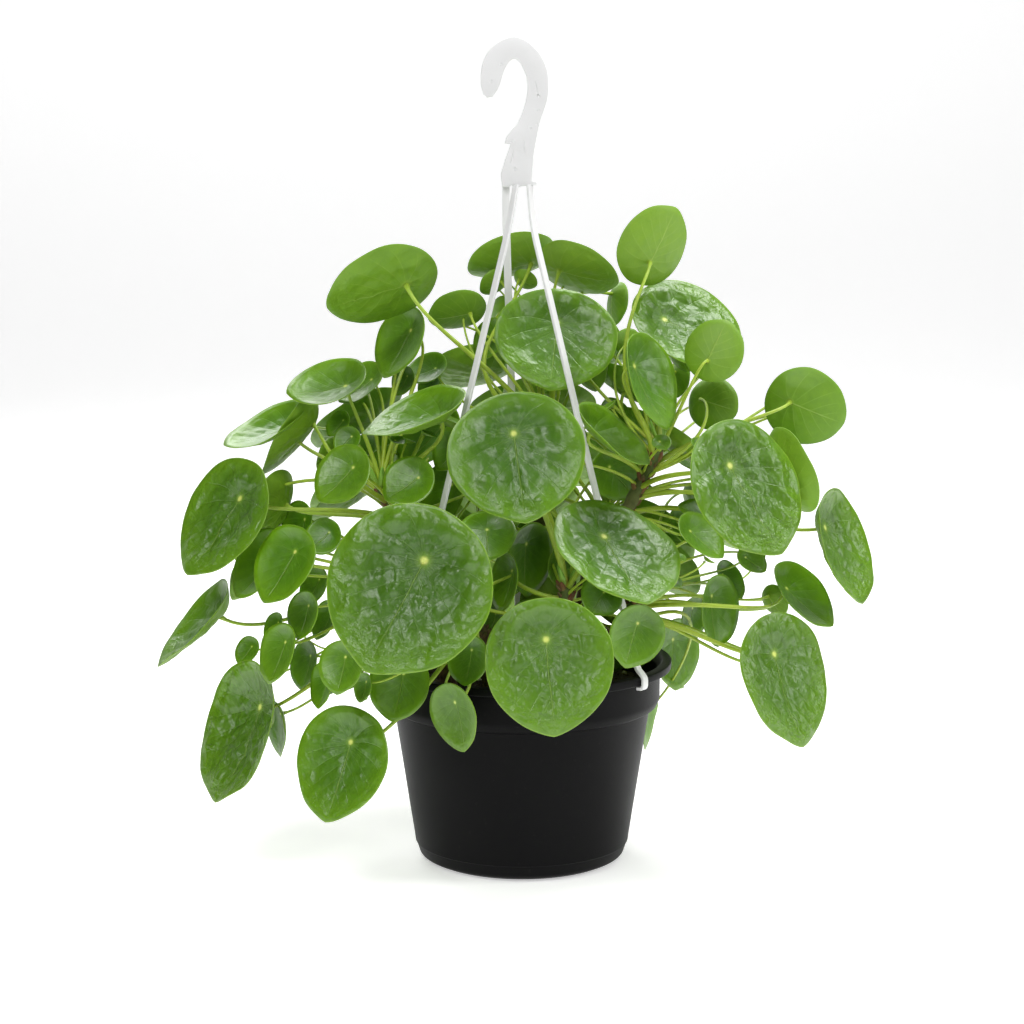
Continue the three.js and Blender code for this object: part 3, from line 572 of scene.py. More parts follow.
def best_stalk(trunk, leaf):
    """The bend that keeps a new stalk clear of all blades but its own, plain and out of sight."""
    best, most, best_rank = None, -math.inf, -math.inf
    for lead, lift, swing in itertools.product(LEADS, LIFTS, SWINGS):
        points = stalk_points(trunk, leaf, lift, swing, lead)
        line = bezier(points, np.linspace(0.2, 0.97, 14))
        in_front, behind = overlap(line)
        if in_pot(bezier(points, np.linspace(0, 1, 40))) > 0:
            continue
        gap = gaps(line, every_blade).min() - 8 * MM * in_front
        rank = min(gap, 3 * MM) + (2 * behind - 3 * abs(swing) - 2 * abs(lift - 0.12)) * MM
        if rank > best_rank:
            best, most, best_rank = points, gap, rank
    return best, most


# %% Young blades that the view shows, written like the rows of the stems
YOUNG = {
    "stem_left_high": [
        [318, 472, 334, 438, 17, 20, -1], [400, 466, 452, 404, 50, 66, 1],
        [396, 396, 408, 366, 22, 50, 1], [420, 398, 436, 370, 20, 56, 1],
        [398, 394, 470, 350, 44, 74, 1], [352, 470, 372, 432, 24, 44, 1],
    ],
    "stem_front_left": [
        [428, 530, 454, 462, 44, 20, 1], [316, 640, 330, 600, 22, -40, 1],
        [408, 560, 440, 500, 40, 30, 1],
    ],
    "stem_centre": [
        [596, 392, 584, 330, 36, 60, -1], [478, 360, 498, 318, 30, 60, 1],
        [436, 470, 470, 420, 36, 30, 1], [520, 350, 500, 296, 34, 70, -1],
    ],
    "stem_right_high": [
        [634, 446, 606, 398, 30, 50, 1], [700, 470, 668, 430, 24, 30, 1],
        [610, 368, 600, 318, 34, 70, -1], [690, 372, 676, 330, 30, 46, -1],
        [614, 326, 622, 282, 20, 80, -1], [678, 398, 682, 362, 20, 50, -1],
        [690, 474, 664, 434, 30, 44, -1],
    ],
    "stem_right_low": [
        [645, 750, 656, 698, 8, 64, 1], [700, 548, 674, 508, 26, 10, 1],
        [690, 640, 700, 596, 26, 20, 1], [742, 600, 722, 560, 22, 20, 1],
        [720, 510, 704, 470, 26, 36, 1],
    ],
    "stem_front_right": [
        [560, 590, 566, 546, 30, -10, 1], [604, 560, 596, 500, 40, -20, 1],
        [520, 650, 530, 600, 34, -20, 1], [486, 642, 494, 600, 28, -30, 1],
    ],
    "stem_left_low": [
        [300, 690, 306, 640, 26, -10, 1], [246, 560, 266, 520, 26, 20, 1],
        [290, 560, 300, 500, 30, 20, 1], [304, 606, 320, 566, 26, 10, 1],
        [232, 600, 258, 552, 28, 20, -1],
    ],
}
DEPTH_TRIES = [0, 8, -8, 16, -16, 24, -24, 34, 46]
CLEAR = 2.5 * MM
LEAST_ROOM = 1 * MM
young_count = 0
for name, rows in YOUNG.items():
    for row in rows:
        tried = [pose_blade(row, shift) for shift in DEPTH_TRIES]
        room = [clearance(leaf) - 20 * MM * overlap(blade_points(leaf))[0] for leaf in tried]
        for i in sorted(range(len(tried)), key=lambda i: -min(room[i], CLEAR)):
            points, gap = best_stalk(trunks[name], tried[i])
            if room[i] > LEAST_ROOM and gap > 0:
                grow(name, tried[i], points)
                young_count += 1
                break
print("young blades that the view shows:", young_count)

# %% Shoots in the crowns, and blades behind the shown ones
chance = np.random.default_rng(7)
SHOOTS = 12
SHADE_TRIES = 46
BEHIND_TRIES = 90
REACH_BEHIND = 125 * MM
LEAST_BEHIND = 0.93
LEAST_STALK_GAP = 1.8 * MM
SHADE_MIDDLE = 510, 480
SHADE_REACH = 172, 165
SHADE_LOWEST = 135 * MM
BOX_MARGIN = 1.5 * MM
box_low, box_high = np.array(cad_box[0]) + BOX_MARGIN, np.array(cad_box[1]) - BOX_MARGIN


def free_blade(centre, length, normal):
    """A blade at a place, with its tip hanging down as far as its tilt lets it."""
    normal = unit(normal)
    down = unit(normal * normal[2] - UP)
    turn = chance.uniform(-0.7, 0.7)
    along = down * math.cos(turn) + np.cross(normal, down) * math.sin(turn)
    return Blade(centre, length, length * BLADE_WIDTH_SHARE, along, normal)


def try_blade(name, leaf, least_behind=0.0):
    """Adds a blade if it is clear, in front of no shown blade and behind them far enough."""
    points = blade_points(leaf)
    in_front, behind = overlap(points)
    in_box = (points > box_low).all() and (points < box_high).all()
    if in_front > 0 or behind < least_behind or not in_box or clearance(leaf) < CLEAR:
        return 0
    points, gap = best_stalk(trunks[name], leaf)
    if gap < LEAST_STALK_GAP:
        return 0
    grow(name, leaf, points)
    return 1


def any_way():
    """A random level turn, and a rise that is mostly upwards."""
    turn, rise = chance.uniform(0, 2 * np.pi), chance.uniform(-0.3, 1.1)
    return unit(np.array([math.cos(turn), math.sin(turn), rise]))


grown = {"shoots": 0, "shade": 0, "behind": 0}
for name, trunk in trunks.items():
    for _ in range(SHOOTS):
        out = any_way() + 0.3 * UP
        centre = trunk[3] + out * chance.uniform(14, 38) * MM
        leaf = free_blade(centre, chance.uniform(8, 17) * MM, out + UP)
        grown["shoots"] += try_blade(name, leaf)
    for _ in range(SHADE_TRIES):
        out = any_way()
        centre = trunk[3] + out * chance.uniform(40, 95) * MM
        off = np.subtract(seen_in_view(centre), SHADE_MIDDLE) / SHADE_REACH
        if np.hypot(*off) < 1 and centre[2] > SHADE_LOWEST:
            leaf = free_blade(centre, chance.uniform(26, 50) * MM, out + UP * 0.8)
            grown["shade"] += try_blade(name, leaf)
    own = blades[name][:len(STEMS[name]["blades"])]
    for _ in range(BEHIND_TRIES if own else 0):
        front = own[chance.integers(len(own))]
        back = unit(front.centre - EYE) * chance.uniform(12, 80) * MM
        if np.linalg.norm(front.centre + back - trunk[3]) > REACH_BEHIND:
            continue
        centre = front.centre + back + chance.normal(0, 7, 3) * MM
        normal = np.sign(front.normal[2]) * front.normal + chance.normal(0, 0.3, 3)
        leaf = free_blade(centre, front.length * chance.uniform(0.45, 0.9), normal)
        grown["behind"] += try_blade(name, leaf, least_behind=LEAST_BEHIND)
print("more blades:", grown)

# %% Bowls
for leaf in every_blade:
    facing = abs(leaf.normal @ unit(leaf.centre - EYE))
    depth = 0.15 if facing < 0.55 else mix(0.11, 0.05, smooth(45 * MM, 85 * MM, leaf.length))
    leaf.bowl = max(leaf.cup, depth * leaf.length)
for name, leaves in blades.items():
    for leaf, points in zip(leaves, stalks[name]):
        sunk = leaf.normal * (leaf.bowl - leaf.cup)
        points[2] = points[2] - sunk
        points[3] = points[3] - sunk

# %% [markdown]
# ## From numbers to pieces
#
# Every piece is made in the same way: points and faces from NumPy go into one mesh, values
# that the finish needs go along as attributes on the points, and the piece then rides on the
# frame's only body and stands for its CAD node.

# %% Making a piece
class Parts:
    """Points, faces and point values of many small parts that become one piece."""

    def __init__(self):
        self.points, self.faces, self.values = [], [], {}
        self.count = 0

    def add(self, points, faces, **values):
        points = np.asarray(points).reshape(-1, 3)
        self.points.append(points)
        self.faces += [tuple(int(i) + self.count for i in face) for face in faces]
        self.count += len(points)
        for key, value in values.items():
            filled = np.broadcast_to(np.asarray(value, float), (len(points),))
            self.values.setdefault(key, []).append(filled)


def make_piece(name, parts, nodes, material, sharp=None):
    mesh = bpy.data.meshes.new(name)
    mesh.from_pydata(np.concatenate(parts.points), [], parts.faces)
    for key, values in parts.values.items():
        attribute = mesh.attributes.new(key, "FLOAT", "POINT")
        attribute.data.foreach_set("value", np.concatenate(values).astype(np.float32))
    piece = add_object(name, mesh)
    finish_piece(piece, nodes, material, sharp)
    return piece


def finish_piece(piece, nodes, material, sharp=None):
    """Shades the piece smooth, apart from edges sharper than an angle, and ties it down."""
    mesh = piece.data
    mesh.shade_smooth()
    if sharp is not None:
        mesh.set_sharp_from_angle(angle=math.radians(sharp))
    mesh.materials.clear()
    mesh.materials.append(material)
    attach(piece, "root")
    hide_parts(*nodes)
    print(f"{piece.name}: {len(mesh.vertices)} points, {len(mesh.polygons)} faces")


def grid_faces(rows, columns, closed=True):
    """Quads between rows of points; closed joins the last column to the first."""
    i, j = np.meshgrid(np.arange(rows - 1), np.arange(columns if closed else columns - 1),
                       indexing="ij")
    here = i * columns + j
    right = i * columns + (j + 1) % columns
    return np.stack([here, right, right + columns, here + columns], axis=-1).reshape(-1, 4)


# %% A tube along a line
def frames_along(line):
    """Two directions across a line at each of its points, carried along without twist."""
    tangents = np.gradient(line, axis=0)
    tangents /= np.linalg.norm(tangents, axis=1)[:, None]
    side = unit(np.cross(tangents[0], [0.31, 0.87, 0.38]))
    sides = []
    for tangent in tangents:
        side = unit(side - tangent * (side @ tangent))
        sides.append(side)
    sides = np.array(sides)
    return sides, np.cross(tangents, sides)


def tube(line, radius, around):
    """The points and faces of a closed tube. radius is one value, or rows by columns."""
    sides, others = frames_along(line)
    angle = 2 * np.pi * np.arange(around) / around
    radius = np.broadcast_to(radius, (len(line), around))[..., None]
    ring = np.cos(angle)[None, :, None] * sides[:, None]
    ring = ring + np.sin(angle)[None, :, None] * others[:, None]
    points = (line[:, None] + radius * ring).reshape(-1, 3)
    faces = list(grid_faces(len(line), around))
    faces.append(range(around - 1, -1, -1))
    faces.append(range((len(line) - 1) * around, len(line) * around))
    return points, faces


# %% [markdown]
# ## Shader maths
#
# A finish is arithmetic on a few values: where on the blade a point lies, how far it is from a
# vein, some noise. Nodes wired one by one hide that arithmetic, so one small class wraps a
# socket and turns each operator into its node, and a finish then reads as a formula.

# %% The socket class
class Finish:
    """A material's node tree, and the node calls that the finishes need."""

    def __init__(self, name):
        self.material = bpy.data.materials.new(name)
        self.material.use_nodes = True
        self.tree = self.material.node_tree
        self.tree.nodes.clear()
        self.output = self.tree.nodes.new("ShaderNodeOutputMaterial")

    def node(self, kind, settings=None, output=0, **inputs):
        """A node of any type: its settings first, then values or links for its sockets."""
        node = self.tree.nodes.new(kind)
        for key, value in (settings or {}).items():
            if key == "stops":
                self.set_stops(node.color_ramp, value)
            else:
                setattr(node, key, value)
        for key, value in inputs.items():
            socket = node.inputs[int(key[1:])] if key[1:].isdigit() else (
                node.inputs[key.replace("_", " ")])
            self.feed(socket, value)
        return Value(self, node.outputs[output])

    def feed(self, socket, value):
        if isinstance(value, Value):
            self.tree.links.new(value.socket, socket)
        elif socket.type == "RGBA" and len(value) == 3:
            socket.default_value = (*value, 1)
        else:
            socket.default_value = value

    @staticmethod
    def set_stops(ramp, stops):
        while len(ramp.elements) < len(stops):
            ramp.elements.new(0.5)
        for element, (place, colour) in zip(ramp.elements, stops):
            element.position = place
            element.color = (*colour, 1)

    def attribute(self, name):
        return self.node("ShaderNodeAttribute", {"attribute_name": name}, output=2)

    def place(self):
        return self.node("ShaderNodeTexCoord", output=3)

    def vector(self, x, y, z):
        return self.node("ShaderNodeCombineXYZ", X=x, Y=y, Z=z)

    def noise(self, where, scale, detail=3.0, roughness=0.55, distortion=0.0):
        return self.node("ShaderNodeTexNoise", Vector=where, Scale=scale, Detail=detail,
                         Roughness=roughness, Distortion=distortion)

    def mix(self, share, a, b):
        """Colour a where the share is 0 and colour b where it is 1."""
        return self.node("ShaderNodeMix", {"data_type": "RGBA"}, output=2, i0=share, i6=a, i7=b)

    def bump(self, height, distance, strength=1.0):
        return self.node("ShaderNodeBump", Height=height, Distance=distance,
                         Strength=strength)

    def surface(self, **inputs):
        shader = self.node("ShaderNodeBsdfPrincipled", **inputs)
        self.tree.links.new(shader.socket, self.output.inputs["Surface"])
        return self.material


class Value:
    """A socket that takes part in arithmetic."""

    def __init__(self, finish, socket):
        self.finish, self.socket = finish, socket

    def maths(self, operation, *values, clamp=False):
        settings = {"operation": operation, "use_clamp": clamp}
        inputs = {f"i{i}": value for i, value in enumerate(values)}
        return self.finish.node("ShaderNodeMath", settings, **inputs)

    def __add__(self, other):
        return self.maths("ADD", self, other)

    def __sub__(self, other):
        return self.maths("SUBTRACT", self, other)

    def __rsub__(self, other):
        return self.maths("SUBTRACT", other, self)

    def __mul__(self, other):
        return self.maths("MULTIPLY", self, other)

    def __truediv__(self, other):
        return self.maths("DIVIDE", self, other)

    def __rtruediv__(self, other):
        return self.maths("DIVIDE", other, self)

    def __pow__(self, other):
        return self.maths("POWER", self, other)

    __radd__ = __add__
    __rmul__ = __mul__

    def at_least(self, other):
        return self.maths("MAXIMUM", self, other)

    def to_nearest(self):
        """The distance from the nearest whole number."""
        return self.maths("PINGPONG", self, 0.5)

    def between(self, low, high):
        """0 below low, 1 above high, and a smooth rise between them."""
        settings = {"interpolation_type": "SMOOTHSTEP"}
        return self.finish.node("ShaderNodeMapRange", settings, Value=self,
                                From_Min=low, From_Max=high)


# %% Roughness
def rough(points, scale, depth=3):
    """Smooth noise from -1 to 1 at each point."""
    return np.array([noise.fractal(Vector(p) * scale, 0.6, 2.1, depth) for p in points])


# %% [markdown]
# ## Blades
#
# The veins of a blade leave the yellow dot on all sides, and more of them leave the midrib on
# its way to the tip. Streamlines of a flow out of a line of sources do the same. So each point
# of a blade gets a complex number: its imaginary part counts the veins, its real part runs
# along them, and the size of its derivative says how crowded they are. The finish draws veins
# from these, and the mesh is raised between them like a quilt.

# %% Veins
VEIN_SOURCES = 9
DOT_WEIGHT = 0.5
RIB_REACH = 0.75
DRIFT = 1.3


def vein_values(leaf, x, y):
    """The vein number, the way along the veins and the veins per millimetre."""
    count = 6 + round(leaf.length / (35 * MM))
    reach = (0.5 * leaf.length - leaf.dot_x) * RIB_REACH
    sources = leaf.dot_x + reach * np.linspace(0, 1, VEIN_SOURCES)
    weights = np.full(VEIN_SOURCES, (1 - DOT_WEIGHT) / (VEIN_SOURCES - 1))
    weights[0] = DOT_WEIGHT
    drift = DRIFT / leaf.length
    away = (x + 1j * np.maximum(abs(y), 0.01 * MM))[..., None] - sources
    flow = (np.log(away / leaf.length) * weights).sum(axis=-1) + drift * (x + 1j * abs(y))
    crowd = abs((weights / away).sum(axis=-1) + drift)
    scale = count / np.pi
    return flow.imag * scale, flow.real * scale, crowd * scale * MM


# %% One blade
BLADE_STEP = 2.9 * MM
RIM_SHARE = 0.990
RIPPLE = 0.010
WAVE = 0.018
CURL = 0.003
QUILT = 1.5 * MM
PUCKER = 3.0 * MM
INSIDE = np.array(cad_box[0]) + 0.1 * MM, np.array(cad_box[1]) - 0.1 * MM
CUSP = 0.009


def add_blade(parts, leaf, chance):
    """A closed thin body: rings out from the dot over the top, round the rim, and back."""
    around = int(np.clip(3.05 * leaf.length / BLADE_STEP, 40, 126))
    rows = int(np.clip(0.6 * leaf.length / BLADE_STEP, 8, 26))
    angle = 2 * np.pi * np.arange(around) / around
    rim_x, rim_y = leaf.outline(angle, leaf.tip_point)
    from_tip = np.minimum(angle, 2 * np.pi - angle)
    rim_x = rim_x + CUSP * leaf.length * np.exp(-from_tip / 0.09) * leaf.tip_point / TIP_POINT
    phase = chance.uniform(0, 2 * np.pi, 6)
    ripple = 0.6 * np.sin(3 * angle + phase[4]) + 0.4 * np.sin(8 * angle + phase[5])
    reach = RIM_SHARE - RIPPLE * (1 + ripple)
    share = ((np.arange(rows) + 1) / rows)[:, None]
    x = leaf.dot_x + (rim_x - leaf.dot_x) * share * reach
    y = rim_y * share * reach
    vein, way, crowd = vein_values(leaf, x, y)

    wave = 0.6 * np.sin(2 * angle + phase[0]) + 0.4 * np.sin(3 * angle + phase[1])
    wave = wave + 0.3 * np.sin(5 * angle + phase[2])
    height = -leaf.bowl * (1 - share ** mix(1.5, 2.1, smooth(0.05, 0.12, leaf.bowl / leaf.length)))
    height = height + WAVE * leaf.length * share**2 * wave
    height = height - CURL * leaf.length * smooth(0.86, 1, share)
    cells = 0.45 + 0.55 * np.sin(3.9 * way + 2.4 * np.floor(vein) + phase[3])
    quilt = cells * np.sin(np.pi * vein) ** 2 * smooth(0.05, 0.35, share)
    quilt = quilt * (1 - 0.9 * smooth(0.78, 0.98, share))
    height = height + QUILT * smooth(25 * MM, 90 * MM, leaf.length) * quilt
    if leaf.length > 48 * MM:
        flat = np.stack([x, y * 1.5, np.full_like(x, phase[0])], axis=-1).reshape(-1, 3)
        lumps = rough(flat, 42, depth=2).reshape(x.shape) * smooth(0.12, 0.3, share)
        lumps = lumps * (1 - 0.8 * smooth(0.84, 1.0, share))
        height = height + PUCKER * smooth(40 * MM, 90 * MM, leaf.length) * lumps

    thick = mix(1.0, 0.5, share) * MM
    edge = 1.004
    points = np.concatenate([
        leaf.place(x, y, height),
        leaf.place(x[-1:] * edge, y[-1:] * edge, height[-1:] - thick[-1:] / 2),
        leaf.place(x[::-1], y[::-1], (height - thick)[::-1]),
    ]).reshape(-1, 3)
    count = len(points)
    middle = leaf.place([leaf.dot_x] * 2, [0, 0], [-leaf.bowl, -leaf.bowl - thick[0, 0]])
    points = np.clip(np.concatenate([points, middle]), *INSIDE)
    faces = [face[::-1] for face in grid_faces(2 * rows + 1, around)]
    for i in range(around):
        j = (i + 1) % around
        faces.append((count, i, j))
        faces.append((count + 1, count - around + j, count - around + i))

    def both(values, at_dot):
        """One value for each point, the same above and below."""
        values = np.broadcast_to(values, (rows, around))
        rings = [values, values[-1:], values[::-1]]
        return np.append(np.concatenate(rings).reshape(-1), [at_dot] * 2)

    side = np.concatenate([np.zeros((rows, around)), np.full((1, around), 0.3),
                           np.ones((rows, around))]).reshape(-1)
    parts.add(
        points, faces,
        out=both(share, 0), vein=both(vein, 0), way=both(way, way.min()),
        crowd=both(crowd, crowd.max()), under=np.append(side, [0, 1]),
        rib=both(abs(y) / MM, 0), ahead=both((x - leaf.dot_x) / MM, 0), aside=both(y / MM, 0),
        near=both(np.hypot(x - leaf.dot_x, y) / MM, 0),
        size=leaf.length / (100 * MM), tone=chance.random(),
    )


# %% [markdown]
# ## Stalks, trunks and crowns
#
# Stalks are smooth tubes that widen where they leave the trunk and where they carry the blade.
# A trunk is a rough rod with the scars of old stalks. Its crown is crowded: brown pointed
# scales at the foot of each stalk, a few short stubs, and folded young blades at the top.

# %% Stalks and trunks
def add_stalk(parts, points, length, chance):
    """A stalk that carries a blade of the given length: the larger, the thicker."""
    t = np.linspace(0, 1, 26)
    radius = mix(1.7, 1.1, smooth(0, 0.9, t))
    radius = radius + 0.6 * (1 - smooth(0, 0.10, t)) + 0.8 * smooth(0.95, 1, t)
    radius = radius * mix(0.55, 1, smooth(10 * MM, 75 * MM, length))
    line, faces = tube(bezier(points, t), radius[:, None] * MM, 10)
    parts.add(line, faces, along=np.repeat(t, 10), tone=chance.random())


def trunk_radius(t):
    return mix(5.3, 3.6, t) * MM


TRUNK_BURIED = 45 * MM


def add_trunk(parts, points, chance):
    t = np.concatenate([[-0.5, -0.2], np.linspace(0, 1, 64)])
    line = bezier(points, np.clip(t, 0, 1))
    line[:2] = points[0] + UP * np.array([-TRUNK_BURIED, -0.4 * TRUNK_BURIED])[:, None]
    radius = np.tile(trunk_radius(np.clip(t, 0, 1))[:, None], (1, 20))
    angle = 2 * np.pi * np.arange(20) / 20
    for scar in np.arange(0.04, 0.98, 0.055):
        turn = angle - chance.uniform(0, 2 * np.pi)
        ridge = np.exp(-(((t - scar) / 0.012) ** 2))[:, None]
        radius = radius + 0.5 * MM * ridge * (0.5 + 0.5 * np.cos(turn)) ** 2
        radius = radius - 0.3 * MM * np.roll(ridge, 1, axis=0)
    radius = radius * (1 + 0.03 * np.sin(3 * angle + 9 * t[:, None]))
    radius = radius * np.sqrt(np.clip(1.02 - smooth(0.94, 1, t) ** 2, 0, 1))[:, None]
    skin, faces = tube(line, radius, 20)
    parts.add(skin, faces, along=np.repeat(np.clip(t, 0, 1), 20), tone=chance.random(), kind=0)


def add_scale(parts, foot, heading, length, width, kind, chance):
    """A pointed scale or a folded young blade: a flattened tube that tapers to a tip."""
    t = np.linspace(0, 1, 9)
    bend = unit(heading + UP * 0.9)
    line = foot + (heading * t[:, None] * 0.5 + bend * t[:, None] ** 1.3 * 0.6) * length
    taper = np.sqrt(np.clip(1 - t**2.2, 0, 1)) * (0.75 + 0.5 * np.sin(np.pi * t * 0.8))
    angle = 2 * np.pi * np.arange(10) / 10
    flat = 1 / np.hypot(np.cos(angle), np.sin(angle) / 0.4)
    skin, faces = tube(line, (taper * width / 2 + 0.05 * MM)[:, None] * flat, 10)
    parts.add(skin, faces, along=np.repeat(t, 10), tone=chance.random(), kind=kind)


SCALE, BUD, STUB = 0.5, 1.0, 0.25


def add_crown(parts, trunk, roots, chance):
    for points in roots:
        heading = points[1] - points[0]
        level = unit(heading * [1, 1, 0] + 1e-6)
        foot = points[0] + level * 2.6 * MM - UP * 2.5 * MM
        add_scale(parts, foot, unit(level + UP * 1.2), chance.uniform(5, 8) * MM,
                  chance.uniform(2.4, 3.4) * MM, SCALE, chance)
    for _ in range(16):
        t = chance.uniform(0.45, 0.99)
        turn = chance.uniform(0, 2 * np.pi)
        level = np.array([math.cos(turn), math.sin(turn), 0])
        foot = bezier(trunk, t) + level * trunk_radius(t) * 0.8
        add_scale(parts, foot, unit(level + UP * 0.6), chance.uniform(3, 8) * MM,
                  chance.uniform(1.8, 2.8) * MM, STUB, chance)
    for _ in range(7):
        turn = chance.uniform(0, 2 * np.pi)
        level = np.array([math.cos(turn), math.sin(turn), 0])
        foot = bezier(trunk, 0.99) + level * chance.uniform(0.5, 2.5) * MM
        add_scale(parts, foot, unit(level * 0.6 + UP), chance.uniform(8, 17) * MM,
                  chance.uniform(2.0, 3.4) * MM, BUD, chance)


# %% [markdown]
# ## Pot and soil
#
# The pot is one wall turned about the upright axis. Its profile is a loop of corners, each
# with its own rounding, so that the lip, the crease under the collar and the foot all catch a
# line of light. The soil is a rough disc with bark crumbs and a few grains of perlite.

# %% Turning a profile
def rounded(corners, closed=False, steps=5):
    """Points along a line of corners (place, rounding), each cut off by a smooth bend."""
    places = [np.array(place, float) for place, _ in corners]
    line = []
    for i, (_, rounding) in enumerate(corners):
        here = places[i]
        if rounding == 0 or (not closed and i in (0, len(corners) - 1)):
            line.append(here)
            continue
        before, after = places[i - 1], places[(i + 1) % len(places)]
        back = min(rounding, np.linalg.norm(before - here) / 2.05)
        ahead = min(rounding, np.linalg.norm(after - here) / 2.05)
        start = here + unit(before - here) * back
        end = here + unit(after - here) * ahead
        for t in np.linspace(0, 1, steps):
            line.append((1 - t) ** 2 * start + 2 * t * (1 - t) * here + t**2 * end)
    return np.array(line)


def turned(profile, columns):
    """Points and faces of a profile from axis to axis, turned about the upright axis."""
    angle = 2 * np.pi * np.arange(columns) / columns
    inner = profile[1:-1]
    rings = np.stack([inner[:, :1] * np.cos(angle), inner[:, :1] * np.sin(angle),
                      np.broadcast_to(inner[:, 1:], (len(inner), columns))], axis=-1)
    points = np.concatenate([rings.reshape(-1, 3),
                             [[0, 0, profile[0, 1]], [0, 0, profile[-1, 1]]]])
    faces = list(grid_faces(len(inner), columns))
    count = len(inner) * columns
    for i in range(columns):
        j = (i + 1) % columns
        faces.append((count, j, i))
        faces.append((count + 1, count - columns + i, count - columns + j))
    return points * MM, faces


# %% The pot's wall
POT_PROFILE = [
    ((0, 0), 0), ((56.8, 0), 1.0), ((62.6, 2.6), 2.0), ((65.0, 10), 0.3), ((65.5, 10.3), 0.3),
    ((65.9, 13.6), 0.5), ((78.2, 93.3), 0.3), ((82.4, 95.2), 0.9), ((84.4, 99.3), 1.6),
    ((84.4, 117.9), 0.5), ((91.2, 117.9), 1.0), ((91.4, 122.9), 0.9), ((85.5, 122.9), 0.8),
    ((82.5, 117.6), 0.8), ((82.5, 97.7), 1.4), ((76.2, 93.5), 1.4), ((63.2, 10), 2),
    ((56.2, 2), 1.5), ((0, 2), 0),
]
DRAIN_HOLES = 8
DRAIN_RADIUS = 4 * MM
DRAIN_RING = 38 * MM
COLUMNS = 176


def cut_out(piece, shapes):
    """Takes closed shapes, given as one bmesh, out of a piece."""
    mesh = bpy.data.meshes.new("cutter")
    shapes.to_mesh(mesh)
    shapes.free()
    cutter = add_object("cutter", mesh)
    cut = piece.modifiers.new("cut", "BOOLEAN")
    cut.operation, cut.solver, cut.object = "DIFFERENCE", "MANIFOLD", cutter
    graph = bpy.context.evaluated_depsgraph_get()
    piece.data = bpy.data.meshes.new_from_object(piece.evaluated_get(graph))
    piece.modifiers.clear()
    bpy.data.objects.remove(cutter)


def drain_holes():
    """Eight round pins through the pot's floor."""
    pins = bmesh.new()
    for i in range(DRAIN_HOLES):
        turn = 2 * math.pi * (i + 0.5) / DRAIN_HOLES
        place = Vector((DRAIN_RING * math.cos(turn), DRAIN_RING * math.sin(turn), MM))
        pin = bmesh.ops.create_cone(pins, cap_ends=True, segments=28, depth=6 * MM,
                                    radius1=DRAIN_RADIUS, radius2=DRAIN_RADIUS)
        bmesh.ops.translate(pins, verts=pin["verts"], vec=place)
    return pins


# %% Soil, crumbs and perlite
SOIL_PROFILE = [(0, 111), (40, 109.4), (70, 107.2), (78, 106), (82, 104.4)]
SOIL_RINGS = 70


def soil_height(radius):
    """The height of the smooth soil, in millimetres, at a radius in millimetres."""
    places = np.array(SOIL_PROFILE, float)
    return np.interp(radius, places[:, 0], places[:, 1])


def make_soil_bed():
    parts = Parts()
    radius = 82 * np.linspace(0, 1, SOIL_RINGS) ** 0.8
    top = np.stack([radius, soil_height(radius)], axis=1)
    wall = [(81.6, 98), (75.8, 93.7), (62.8, 10.4), (56, 2.3), (0, 2.3)]
    profile = np.concatenate([top, wall])[::-1]
    points, faces = turned(profile, 150)
    loose = smooth(103, 105, points[:, 2] / MM) * smooth(82, 76, np.hypot(
        points[:, 0], points[:, 1]) / MM)
    points[:, 2] += (rough(points, 130) * 1.5 - 0.7) * MM * loose
    points[:, 2] = np.minimum(points[:, 2], 111 * MM)
    parts.add(points, faces, kind=0, tone=0.5)
    return parts


CRUMBS = 620
PERLITE_SHARE = 0.07


def make_crumbs(chance):
    """Bark crumbs and perlite, each a small lump of its own, half sunk in the bed."""
    ball = bmesh.new()
    bmesh.ops.create_icosphere(ball, subdivisions=2, radius=1)
    shape = np.array([vertex.co for vertex in ball.verts])
    faces = [[vertex.index for vertex in face.verts] for face in ball.faces]
    ball.free()
    parts = Parts()
    for _ in range(CRUMBS):
        out = 79 * math.sqrt(chance.random())
        turn = chance.uniform(0, 2 * np.pi)
        white = chance.random() < PERLITE_SHARE
        size = chance.uniform(0.9, 1.7) if white else chance.uniform(0.7, 2.3)
        stretch = np.ones(3) if white else np.array([1, chance.uniform(0.4, 0.8), 0.45])
        lump = shape * (1 + 0.28 * rough(shape + out * 7.3, 1.3)[:, None]) * stretch
        spin, lean = chance.uniform(0, 2 * np.pi), chance.uniform(-0.5, 0.5)
        lump = lump @ np.array([[math.cos(spin), math.sin(spin), 0],
                                [-math.sin(spin), math.cos(spin), 0], [0, 0, 1]])
        lump[:, 2] += lean * lump[:, 0]
        centre = np.array([out * math.cos(turn), out * math.sin(turn),
                           soil_height(out) - 0.35 * size])
        parts.add((lump * size + centre) * MM, faces, kind=float(white), tone=chance.random())
    return parts


# %% [markdown]
# ## Hanger
#
# The hook is flat. Its edge is traced from the view: a blunt tip, the open throat, a small barb
# at its mouth, a broad shank and a foot with a short ledge. It gets the depth of its CAD node,
# a rounded border and the shallow dimples of its mould, each written as its pixel, its height
# and width in millimetres and its lean. Each strap is a thin band that hangs from under the
# hook, passes over the lip and clips round it. It is written as the pixel and depth of its top
# and of its bend, and as the angle at which it meets the lip.

